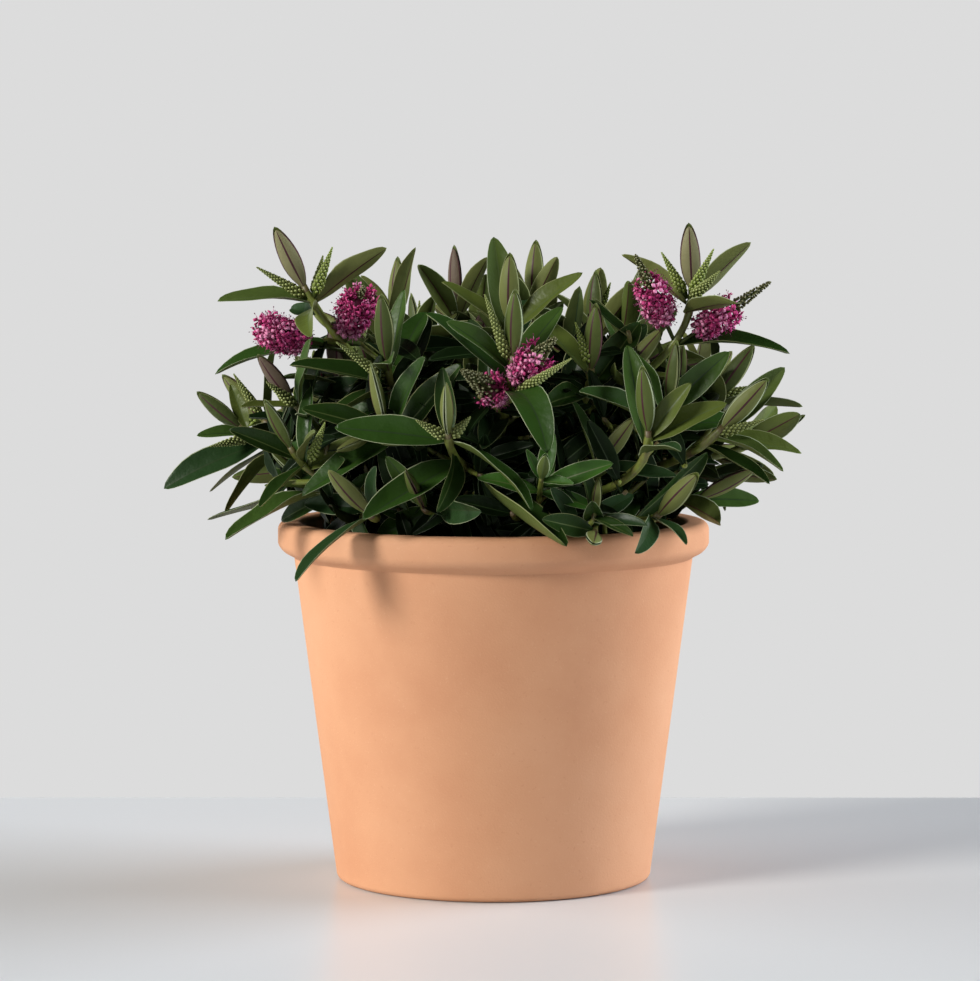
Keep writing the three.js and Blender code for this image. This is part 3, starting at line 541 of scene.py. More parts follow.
SPIKE_BEAD = Finish("spike_bead", (0.15, 0.175, 0.045), 0.5)
SPIKE_YOUNG = Finish("spike_young", (0.19, 0.25, 0.045), 0.5)
SPIKE_TIP = Finish("spike_tip", (0.38, 0.43, 0.17), 0.5)
SPIKE_CORE = Finish("spike_core", (0.05, 0.07, 0.014), 0.6)
HUSK_BEAD = Finish("husk_bead", (0.075, 0.075, 0.026), 0.5)
HUSK_PALE = Finish("husk_pale", (0.33, 0.33, 0.19), 0.5)
# Dark magenta dealt to a third of the other petals and to every throat: painted shade among and inside the
# florets.
PETAL_DEEP = Finish("petal_painted_shade", (0.25, 0.015, 0.085), 0.55)
PETAL_MAGENTA = Finish("petal_magenta", (0.52, 0.055, 0.2), 0.55)
# Pale pink: the faded florets low on a bloom, and random florets whose pink is painted highlight.
PETAL_PINK_FADED_AND_HIGHLIGHT = Finish("petal_pink_faded_and_highlight", (0.74, 0.27, 0.45), 0.55)
# A near-black core inside each bloom: painted shade for the gaps between its florets.
BLOOM_CORE_PAINTED_SHADE = Finish("bloom_core_painted_shade", (0.09, 0.006, 0.03), 0.6)
STAMEN = Finish("stamen", (0.55, 0.16, 0.33), 0.5)
ANTHER = Finish("anther", (0.13, 0.015, 0.06), 0.6)

CLAY = Terracotta("terracotta_clay", (0.6, 0.298, 0.16), 0.79, 0.07, grain=0.00025, grain_size=900.0)
MIX = PottingMix("potting_mix_crumb", (0.028, 0.02, 0.014), 0.89, 0.09, grain=0.003, grain_size=190.0)
MIX_FIBRE = Finish("potting_mix_fibre", (0.10, 0.062, 0.035), 0.85)
TABLE_TOP = Finish("table_top", (0.655, 0.66, 0.662), 0.3, 0.0, shine=0.5, grain=0.0)


# ---------------- meshes from arrays


@dataclass
class Draft:
    """The points and faces of one piece, before they become a mesh."""

    name: str
    slot: str
    points: list[Point] = field(default_factory=list)
    faces: list[list[int]] = field(default_factory=list)
    roles: list[int] = field(default_factory=list)
    finishes: list[Finish] = field(default_factory=list)
    count: int = 0

    def index(self, finish: Finish) -> int:
        """The number of a finish on this piece."""
        if finish not in self.finishes:
            self.finishes.append(finish)
        return self.finishes.index(finish)

    def add(self, points: Point, faces: Sequence[Sequence[int]], roles: Sequence[Finish] | Finish) -> None:
        """Adds a shape.

        Args:
            points: Its points, in millimetres.
            faces: Its faces, as numbers of its own points.
            roles: Its finish, or one for each face.
        """
        base = self.count
        self.points.append(points)
        self.faces.extend([[base + i for i in face] for face in faces])
        if isinstance(roles, Finish):
            self.roles.extend([self.index(roles)] * len(faces))
        else:
            known = {finish: self.index(finish) for finish in dict.fromkeys(roles)}
            self.roles.extend([known[finish] for finish in roles])
        self.count += len(points)

    def piece(self, *stands_for: str) -> None:
        """Makes the piece, held inside the solids' box, and lets it ride on the plant's body.

        Args:
            *stands_for: The solids that it stands for.
        """
        mesh = bpy.data.meshes.new(self.name)
        low, high = (np.array(corner) for corner in SOLIDS_BOX)
        places = np.clip(np.concatenate(self.points) * MM, low, high)
        mesh.from_pydata(places.tolist(), [], self.faces)
        for finish in self.finishes:
            mesh.materials.append(finish.material())
        mesh.polygons.foreach_set("material_index", self.roles)
        mesh.polygons.foreach_set("use_smooth", [True] * len(self.roles))
        mesh.update()
        settle(placed(mesh), self.slot, *stands_for)


def placed(data: bpy.types.ID) -> bpy.types.Object:
    """An object of a mesh, a light or a camera, put in the scene under the same name."""
    made = bpy.data.objects.new(data.name, data)
    bpy.context.scene.collection.objects.link(made)
    return made


def settle(made: bpy.types.Object, slot: str, *stands_for: str) -> None:
    """Lets a piece ride on the plant's body and says what it stands for.

    Args:
        made: The piece.
        slot: Not used.
        *stands_for: The solids that it stands for.
    """
    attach(made, "root")
    if stands_for:
        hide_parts(*stands_for)
    triangles = sum(len(face.vertices) - 2 for face in made.data.polygons)
    log.info("%s: %d triangles, for %s", made.name, triangles, ", ".join(stands_for) or "itself")


def tube(draft: Draft, spine: Point, radii: Point, sides: int, finishes: Sequence[Finish]) -> None:
    """Adds a round limb with closed ends.

    Args:
        draft: The piece that it joins.
        spine: The points that it follows.
        radii: Its radius at each, or for each side of each.
        sides: How many sides it has.
        finishes: The finish of each stretch, or one for all.
    """
    count = len(spine)
    ways = np.gradient(spine, axis=0)
    ways /= norm(ways, axis=1, keepdims=True)
    side = beside(ways[0])
    sides_of = np.empty((count, 3))
    for i in range(count):
        side = squared(side, ways[i])
        sides_of[i] = side
    others = np.cross(ways, sides_of)
    angles = np.linspace(0, 2 * math.pi, sides, endpoint=False)
    radii = np.asarray(radii, float)
    if radii.ndim == 1:
        radii = np.repeat(radii[:, None], sides, axis=1)
    ring = (sides_of[:, None] * np.cos(angles)[None, :, None]
            + others[:, None] * np.sin(angles)[None, :, None])
    points = (spine[:, None] + ring * radii[:, :, None]).reshape(-1, 3)
    faces, roles = [], []
    for i in range(count - 1):
        low, high = i * sides, (i + 1) * sides
        pairs = [(j, (j + 1) % sides) for j in range(sides)]
        faces += [[low + j, low + k, high + k, high + j] for j, k in pairs]
        roles += [finishes[min(i, len(finishes) - 1)]] * sides
    faces.append(list(range(sides))[::-1])
    faces.append([(count - 1) * sides + j for j in range(sides)])
    roles += [finishes[0], finishes[-1]]
    draft.add(points, faces, roles)


def around(across: Point, degrees: float) -> Point:
    """The way out at an angle about a frame's last direction, from its first."""
    angle = math.radians(degrees)
    return across[0] * math.cos(angle) + across[1] * math.sin(angle)


def bead_shape() -> tuple[Point, list[list[int]]]:
    """A ball of one radius with twenty faces.

    Returns:
        Its points, and its faces as numbers of these.
    """
    golden = (1 + math.sqrt(5)) / 2
    raw = []
    for a in (-1, 1):
        for b in (-golden, golden):
            raw += [(a, b, 0), (0, a, b), (b, 0, a)]
    points = np.array(raw, float)
    points /= norm(points[0])
    near = norm(points[:, None] - points[None], axis=2)
    edge = near[near > 0.1].min() * 1.01
    faces = []
    for i, j, k in combinations(range(len(points)), 3):
        if near[i, j] < edge and near[j, k] < edge and near[i, k] < edge:
            normal = np.cross(points[j] - points[i], points[k] - points[i])
            faces.append([i, j, k] if normal @ points[i] > 0 else [i, k, j])
    return points, faces


BEAD_POINTS, BEAD_FACES = bead_shape()
BEAD_CAP = 0.5
BEAD_OUTER = [BEAD_POINTS[face, 2].mean() > BEAD_CAP for face in BEAD_FACES]


def bead(draft: Draft, centre: Point, way: Point, radius: float, length: float, finish: Finish,
         cap: Optional[Finish] = None) -> None:
    """Adds a small egg.

    Args:
        draft: The piece that it joins.
        centre: Its middle.
        way: The unit direction in which it is long.
        radius: Its radius across that direction.
        length: Half its length.
        finish: Its finish.
        cap: The finish of its outer end, where that is another.
    """
    points = BEAD_POINTS * np.array([radius, radius, length]) @ frame_on(way) + centre
    if cap is None:
        draft.add(points, BEAD_FACES, finish)
        return
    draft.add(points, BEAD_FACES, [cap if outer else finish for outer in BEAD_OUTER])


# ---------------- leaves


class Role(Enum):
    """The parts of a leaf, in the order of its dress."""

    UPPER, UNDER, RIB, UNDER_RIB, MARGIN = range(5)


@dataclass(frozen=True)
class LeafPattern:
    """How a leaf's blade is divided: stations along it and places across it, from -1 to 1."""

    stations: tuple[float, ...]
    places: tuple[float, ...]

    MARGIN_FROM = 0.94
    RIB_TO = 0.02

    def faces(self) -> tuple[list[list[int]], list[Role]]:
        """The blade's faces and their roles.

        Returns:
            The faces, as numbers of the points that `Leaf.points` gives, and the role of each.
        """
        rows, across = len(self.stations) - 1, len(self.places)
        width = 2 * across - 2
        upper = list(range(across))
        under = [0, *range(across, width), across - 1]
        tip = rows * width
        faces: list[list[int]] = []
        roles: list[Role] = []
        for side, ring in ((Role.UPPER, upper), (Role.UNDER, under)):
            for j in range(across - 1):
                middle = (self.places[j] + self.places[j + 1]) / 2
                rib = Role.RIB if side is Role.UPPER else Role.UNDER_RIB
                role = Role.MARGIN if abs(middle) > self.MARGIN_FROM else side
                role = rib if abs(middle) < self.RIB_TO else role
                a, b = ring[j], ring[j + 1]
                for i in range(rows - 1):
                    quad = [i * width + a, i * width + b, (i + 1) * width + b, (i + 1) * width + a]
                    faces.append(quad if side is Role.UPPER else quad[::-1])
                    roles.append(role)
                last = [(rows - 1) * width + a, (rows - 1) * width + b, tip]
                faces.append(last if side is Role.UPPER else last[::-1])
                roles.append(role)
        faces.append(upper[::-1] + under[1:-1])
        roles.append(Role.UNDER_RIB)
        return faces, roles


FULL_LEAF = LeafPattern(
    (0.0, 0.05, 0.12, 0.21, 0.31, 0.42, 0.53, 0.64, 0.74, 0.83, 0.91, 0.965, 1.0),
    (-1, -0.955, -0.7, -0.4, -0.055, 0.055, 0.4, 0.7, 0.955, 1),
)
PLAIN_LEAF = LeafPattern(
    (0.0, 0.07, 0.18, 0.32, 0.48, 0.64, 0.8, 0.93, 1.0),
    (-1, -0.95, -0.5, -0.055, 0.055, 0.5, 0.95, 1),
)
BUD_LEAF = LeafPattern(FULL_LEAF.stations, (-1, -0.9, -0.55, -0.1, 0.1, 0.55, 0.9, 1))
PATTERNS = {pattern: pattern.faces() for pattern in (FULL_LEAF, PLAIN_LEAF, BUD_LEAF)}


@dataclass
class Leaf:
    """A leaf by its midrib, which bends away from the twig, and its blade, which twists about it.

    Its length, its width on either side of the midrib and its cup are in millimetres, and its fold, its
    recurve and its twist in degrees. The wave is a share of that width, and the tone picks its colours.
    """

    root: Point
    way: Point
    up: Point
    length: float
    width: float
    fold: float = 23.0
    recurve: float = 0.0
    twist: float = 0.0
    age: Age = Age.PRIME
    wave: float = 0.12
    phase: float = 0.0
    tone: float = 0.0
    cup: float = 0.0
    planned: bool = False
    pattern: LeafPattern = FULL_LEAF

    THICK, THINNER_AT_MARGIN = 0.45, 0.55
    FOOT, FOOT_THICK, FOOT_END = 1.1, 0.5, 0.09
    WIDEST, FULL_BELOW, FULL_ABOVE = 0.47, 0.84, 0.6
    FOLD_CURVE, CUP_CURVE, CUP_FILL = 1.6, 0.8, 0.96
    RIPPLES = (9.5, 7.5)
    GROOVE, KEEL = 0.22, 1.6
    SAMPLES, SAMPLE_WIDTH = (0.4, 0.62, 0.82, 1.0), 0.75

    def rib(self, t: Point) -> tuple[Point, Point, Point]:
        """The midrib's points, the ways up from the face and the ways to its right.

        Args:
            t: Shares of the leaf's length.

        Returns:
            The points, the ups and the rights.
        """
        t = np.atleast_1d(np.asarray(t, float))
        bend = math.radians(self.recurve)
        turn = bend * t[:, None]
        along = np.sin(turn) / bend if bend else t[:, None]
        away = (1 - np.cos(turn)) / bend if bend else 0 * t[:, None]
        bow = self.cup * np.sin(math.pi * t[:, None]) ** self.CUP_CURVE
        points = self.root + self.way * self.length * along - self.up * (self.length * away + bow)
        ways = self.way * np.cos(turn) - self.up * np.sin(turn)
        right = np.cross(self.way, self.up)
        ups = np.cross(right, ways)
        angle = np.radians(self.twist * t)[:, None]
        ups = ups * np.cos(angle) + np.cross(ways, ups) * np.sin(angle)
        return points, ups, np.cross(ways, ups)

    def tip(self) -> Point:
        """The leaf's furthest point."""
        return self.rib(1.0)[0][0]

    def samples(self) -> Point:
        """A few points on the outer part of the blade, to tell how near other leaves come."""
        t = np.array(self.SAMPLES)
        points, _, rights = self.rib(t)
        half = self.half(t)[:, None] * self.SAMPLE_WIDTH
        return np.concatenate([points, points + rights * half, points - rights * half])

    def half(self, t: Point) -> Point:
        """Half the blade's width at shares of its length."""
        fullness = np.where(t < self.WIDEST, self.FULL_BELOW, self.FULL_ABOVE)
        blade = self.width * np.abs(np.sin(math.pi * np.clip(t, 0, 1) ** 0.92)) ** fullness
        return np.where(t < 0.5, np.maximum(blade, self.FOOT), blade)

    def points(self) -> Point:
        """The blade's points, station by station: the upper side from left to right, then the underside."""
        t = np.array(self.pattern.stations[:-1])
        s = np.array(self.pattern.places)
        ribs, ups, rights = self.rib(t)
        half = self.half(t)[:, None]
        lift = half * math.sin(math.radians(self.fold)) * np.abs(s) ** self.FOLD_CURVE
        if self.cup:
            bow = self.cup * np.sin(math.pi * t) ** self.CUP_CURVE
            lift = bow[:, None] * np.abs(s) ** 2 * self.CUP_FILL
        right, left = self.RIPPLES
        ripple = (np.sin(self.phase + right * t)[:, None] * (s > 0)
                  + np.cos(self.phase + left * t)[:, None] * (s < 0))
        lift = lift + half * self.wave * ripple * np.abs(s) ** 2
        foot = self.FOOT_THICK * (t[:, None] < self.FOOT_END)
        thick = self.THICK * (1 - self.THINNER_AT_MARGIN * np.abs(s)) + foot
        groove = self.GROOVE * (np.abs(s) < 0.1) * (t[:, None] > self.FOOT_END)
        spread = s * half * math.cos(math.radians(self.fold))
        upper = np.where((np.abs(s) == 1)[None, :], lift, lift + thick / 2 - groove)
        under = lift - thick / 2 - self.KEEL * groove
        blade = ribs[:, None] + rights[:, None] * spread[:, :, None]
        top = blade + ups[:, None] * upper[:, :, None]
        low = blade + ups[:, None] * under[:, :, None]
        rows = np.concatenate([top, low[:, 1:-1]], axis=1).reshape(-1, 3)
        return np.concatenate([rows, self.tip()[None]])

    def build(self, draft: Draft) -> None:
        """Adds the leaf to a piece, in the colours of its age."""
        faces, roles = PATTERNS[self.pattern]
        options = DRESSES[self.age]
        dress = options[int(self.tone * len(options)) % len(options)].finishes()
        draft.add(self.points(), faces, [dress[role.value] for role in roles])


# ---------------- buds, spikes and blooms


@dataclass
class Straight:
    """An organ that stands straight out of its twig."""

    root: Point
    way: Point
    length: float

    SAMPLES = (0.4, 0.7, 1.0)

    def along(self, shares: Sequence[float]) -> Point:
        """The points at shares of the organ's length."""
        return self.root + self.way * self.length * np.array(shares)[:, None]

    def tip(self) -> Point:
        """The organ's furthest point."""
        return self.root + self.way * self.length

    def samples(self) -> Point:
        """A few points along the organ, to tell how near others come."""
        return self.along(self.SAMPLES)


@dataclass
class Bud(Straight):
    """A closed bud: the youngest pair of leaves, face to face."""

    up: Point
    width: float
    depth: float
    tone: float = 0.0
    age: Age = Age.BUD

    SAMPLES = (0.3, 0.6, 1.0)
    APART = 0.25
    SHORTER = 0.95
    BULGE = 1.15

    def build(self, draft: Draft) -> None:
        """Adds the bud's two leaves to a piece."""
        for side in (1, -1):
            root = self.root - self.up * side * self.APART
            length = self.length * (1.0 if side > 0 else self.SHORTER)
            leaf = Leaf(root, self.way, self.up * side, length, self.width, fold=0, age=self.age, wave=0.0,
                        tone=self.tone, cup=self.depth * self.BULGE, pattern=BUD_LEAF)
            leaf.build(draft)


@dataclass
class Spike(Straight):
    """A young flower spike: beads in a spiral about a stalk, smaller towards its tip."""

    radius: float
    tone: float = 0.0

    BARE = 0.14
    YOUNG_FROM = 0.6
    BEADS_PER_MM = 3.1
    CROWDING = 0.86
    TAPER, TAPER_CURVE = 0.9, 1.4
    BEAD_LEAST, BEAD_GROWTH = 0.28, 0.26
    BEAD_SUNK, BEAD_STRETCH, BEAD_LEAN = 0.7, 1.6, 1.3

    def build(self, draft: Draft) -> None:
        """Adds the spike to a piece."""
        core = np.array([1.0, 0.72 * self.radius, 0.6 * self.radius, 0.25])
        tube(draft, self.along((0.0, 0.25, 0.6, 0.97)), core, 6, [SPIKE_CORE])
        across = frame_on(self.way)
        finish = SPIKE_BEAD if self.tone < self.YOUNG_FROM else SPIKE_YOUNG
        count = int(self.length * self.BEADS_PER_MM)
        for i in range(count):
            share = ((i + 0.5) / count) ** self.CROWDING
            t = self.BARE + (1 - self.BARE) * share
            outward = around(across, SPIRAL_TURN * i)
            ring = self.radius * (1.0 - self.TAPER * share**self.TAPER_CURVE) * min(1, 0.6 + 3 * share)
            size = self.BEAD_LEAST + self.BEAD_GROWTH * ring
            sunk = outward * (ring - size * self.BEAD_SUNK)
            centre = self.root + self.way * self.length * (t - 0.02) + sunk
            bead(draft, centre, unit(self.way * self.BEAD_LEAN + outward), size, size * self.BEAD_STRETCH,
                 finish, SPIKE_TIP)


# The parts of a floret, in the order of the finishes that it is given.
PETAL, THROAT, FILAMENT, ANTHER_TIP = range(4)


def floret_shape() -> tuple[Point, list[list[int]], list[int]]:
    """A floret: a short throat, four petals and two stamens.

    Returns:
        Its points in millimetres with +Z the way out, its faces, and the part that each belongs to.
    """
    points: list[Point] = []
    faces: list[list[int]] = []
    parts: list[int] = []

    def leaflet(foot: Point, tip: Point, side: Point, up: Point, part: int) -> None:
        """Adds a flat eight-faced leaflet from its foot to its tip."""
        base = len(points)
        middle = foot * 0.42 + tip * 0.58
        points.extend([foot, middle + side, tip, middle - side, middle + up, middle - up])
        for i in range(4):
            j = (i + 1) % 4
            faces.extend([[base + 4, base + i, base + j], [base + 5, base + j, base + i]])
            parts.extend([part, part])

    for k in range(4):
        out = around(np.eye(3), 90 * k + 20)
        side = np.cross(UP, out)
        leaflet(UP * 1.6 + out * 0.3, UP * 2.4 + out * 2.7, side * -0.95, UP * 0.2 - out * 0.05, PETAL)
    leaflet(UP * -0.4, UP * 2.4, np.array([0.75, 0.0, 0.0]), np.array([0.0, 0.75, 0.0]), THROAT)
    for k in range(2):
        out = around(np.eye(3), 180 * k + 65)
        side = np.cross(UP, out)
        leaflet(UP * 1.8, UP * 3.7 + out * 1.4, side * 0.12, out * 0.12, FILAMENT)
        leaflet(UP * 3.6 + out * 1.3, UP * 4.3 + out * 1.7, side * 0.24, out * 0.2, ANTHER_TIP)
    return np.array(points), faces, parts


FLORET_POINTS, FLORET_FACES, FLORET_PARTS = floret_shape()


@dataclass
class Bloom(Straight):
    """A flower spike in bloom: open florets about its lower part and closed ones at its tip."""

    radius: float
    opened: float
    centre: float
    seed: int

    STRETCH, DENSE = 1.3, 0.8
    FLORETS = 165
    END = 0.99
    SLANT_FROM, TILT, ASIDE = 0.45, 0.55, 0.5
    FEET = (0.55, 1.1)
    FLORET_REACH = 5.2
    SWELL = 1.06
    LEAST_RING = 1.4
    RAGGED = 0.12
    WANDER = 22.0
    LEAN = 0.9
    SIZES = (1.05, 1.6)
    # How low florets fade, how many of them do, and the share of the others given pink as painted
    # highlight.
    FADED_BELOW, FADED_SHARE, PINK_SHARE = 0.22, 0.6, 0.26
    HUSK_LEAST, HUSK_GROWTH, HUSK_STRETCH = 0.45, 0.1, 1.35

    def heart(self) -> Point:
        """The middle of the bloom's open florets."""
        return self.root + self.way * self.length * self.centre

    def samples(self) -> Point:
        """Points about the bloom's florets."""
        around_heart = self.heart() + BEAD_POINTS * self.radius * self.DENSE
        return np.concatenate([around_heart, self.tip()[None]])

    def build(self, stalks: Draft, blossom: Draft) -> None:
        """Adds the bloom's stalk to the spikes and its florets to the blossom.

        Args:
            stalks: The piece that the stalk and the closed florets join.
            blossom: The piece that the open florets join.
        """
        chance = Chance(self.seed)
        middle = self.length * self.centre
        reach = self.radius * self.STRETCH
        low, high = (middle - reach) / self.length, (middle + reach) / self.length
        tube(stalks, self.along((0.0, 0.3, 0.7, 0.98)), np.array([1.1, 1.3, 1.2, 0.4]), 6, [SPIKE_CORE])
        across = frame_on(self.way)
        # A thick near-black core along the open florets: painted shade that shows through the gaps between
        # them.
        heart = self.along(np.linspace(low + 0.06, low + (high - low) * self.opened - 0.06, 5))
        widths = np.array([1.5, *(share * self.radius for share in (0.34, 0.38, 0.34, 0.16))])
        tube(blossom, heart, widths, 8, [BLOOM_CORE_PAINTED_SHADE])
        for i in range(self.FLORETS):
            t = low + (self.END - low) * (i + 0.5) / self.FLORETS
            outward = around(across, SPIRAL_TURN * i + chance.about(self.WANDER))
            span = (t - low) / (high - low)
            is_open = span < self.opened + chance.about(self.RAGGED)
            centre = self.root + self.way * self.length * t
            if is_open:
                swell = math.sqrt(max(0.0, 1 - (2 * span - 1) ** 2)) if span < 1 else 0.0
                ring = max(self.LEAST_RING, (self.radius * self.SWELL - self.FLORET_REACH) * swell)
                tilt = self.LEAN * (span - self.SLANT_FROM) + chance.about(self.TILT)
                lift = unit(outward + self.way * tilt + across[1] * chance.about(self.ASIDE))
                foot = centre + outward * ring * chance.between(*self.FEET)
                self._floret(blossom, foot, lift, span, chance)
            else:
                share = (t - low) / (self.END - low)
                ring = 0.9 + 5.4 * (1 - share) ** 0.8 * (1.0 if self.opened > 0.6 else 1.45)
                size = self.HUSK_LEAST + self.HUSK_GROWTH * ring
                bead(stalks, centre + outward * (ring - size), unit(self.way * 0.6 + outward), size,
                     size * self.HUSK_STRETCH, HUSK_BEAD, HUSK_PALE)

    def _floret(self, blossom: Draft, foot: Point, way: Point, span: float, chance: Chance) -> None:
        """Adds one open floret.

        Args:
            blossom: The piece that it joins.
            foot: Where it stands.
            way: The unit direction in which it faces.
            span: How far up the bloom it stands, from 0 to 1.
            chance: The bloom's run of chance.
        """
        size = chance.between(*self.SIZES)
        first = around(frame_on(way), chance.between(0, 90))
        axes = np.array([first, np.cross(way, first), way])
        faded = span < self.FADED_BELOW and chance.next() < self.FADED_SHARE
        # Faded florets low on the bloom are pale pink for real; others are dealt pink at random as painted
        # highlight.
        if faded or chance.next() < self.PINK_SHARE:
            petals = PETAL_PINK_FADED_AND_HIGHLIGHT
        else:
            # One floret in three of the rest is dealt dark magenta as painted shade.
            petals = chance.pick((PETAL_MAGENTA, PETAL_MAGENTA, PETAL_DEEP))
        # The throat is dark magenta too: painted shade inside the floret.
        parts = (petals, PETAL_DEEP, STAMEN, ANTHER)
        finishes = [parts[part] for part in FLORET_PARTS]
        blossom.add(FLORET_POINTS * size @ axes + foot, FLORET_FACES, finishes)


# ---------------- the plant's plan


@dataclass(frozen=True)
class Pair:
    """A pair of leaves: how far below the bud it stands, how wide it opens, its length and its bend."""

    below: float
    open: float
    length: float
    recurve: float


# Half a leaf's width as a share of its length.
LEAF_WIDTH = 0.16

# The pairs of a full shoot, and how old the leaves below the uppermost pair are.
PAIRS = (Pair(0, 54, 49, 8), Pair(12, 68, 55, 18), Pair(27, 80, 56, 26), Pair(45, 92, 54, 32),
         Pair(66, 102, 50, 32))
LOWER_AGES = (Age.PRIME, Age.PRIME, Age.OLD, Age.OLD)


class Tint(Enum):
    """The colours of a shoot, by how far it has grown."""

    PLAIN = Age.BUD, Age.YOUNG
    BRONZE = Age.BRONZE, Age.OLIVE
    OLIVE = Age.OLIVE, Age.OLIVE
    DUSKY = Age.DUSKY, Age.YOUNG
    MATURE = Age.OLIVE, Age.PRIME
    FRESH = Age.FRESH, Age.FRESH

    @property
    def bud(self) -> Age:
        """The age whose colours its bud has."""
        return self.value[0]

    @property
    def young(self) -> Age:
        """The age whose colours its uppermost leaves have."""
        return self.value[1]


@dataclass
class Shoot:
    """A shoot: its uppermost open pair's place, its lean, its turn, and what stands out of the rule.

    Organs out of that order are given by how far below the bud they stand and the place that their tip
    reaches: leaves as (below, tip, recurve) and maybe the way their face looks, young spikes as
    (below, tip), and blooms as (below, tip, share of the way to their middle, share opened). Angles about
    a shoot run from the right (0) by the front (90) to the left (180).
    """

    at: Place
    lean: tuple[float, float] = (0.0, 0.0)
    turn: float = 0.0
    size: float = 1.0
    skip: int = 0
    pairs: int = len(PAIRS)
    leaves: tuple[tuple, ...] = ()
    spikes: tuple[tuple, ...] = ()
    blooms: tuple[tuple, ...] = ()
    bare: bool = False
    single: bool = False
    tint: Tint = Tint.PLAIN
    way: Optional[Point] = None
    curve: Optional[Sweep] = None

    @property
    def point(self) -> Point:
        """The place of the uppermost open pair."""
        return np.array(self.at, float)


@dataclass
class Mass:
    """A mass of foliage: its name, the bough that carries it and its shoots."""

    name: str
    bough: str
    shoots: list[Shoot]
    seed: int = 0
    root: Optional[Point] = None
    root_way: Optional[Point] = None
    tips: Optional[KDTree] = None

    @property
    def node(self) -> str:
        """The name of the mass's solid."""
        return f"foliage_{self.name}"


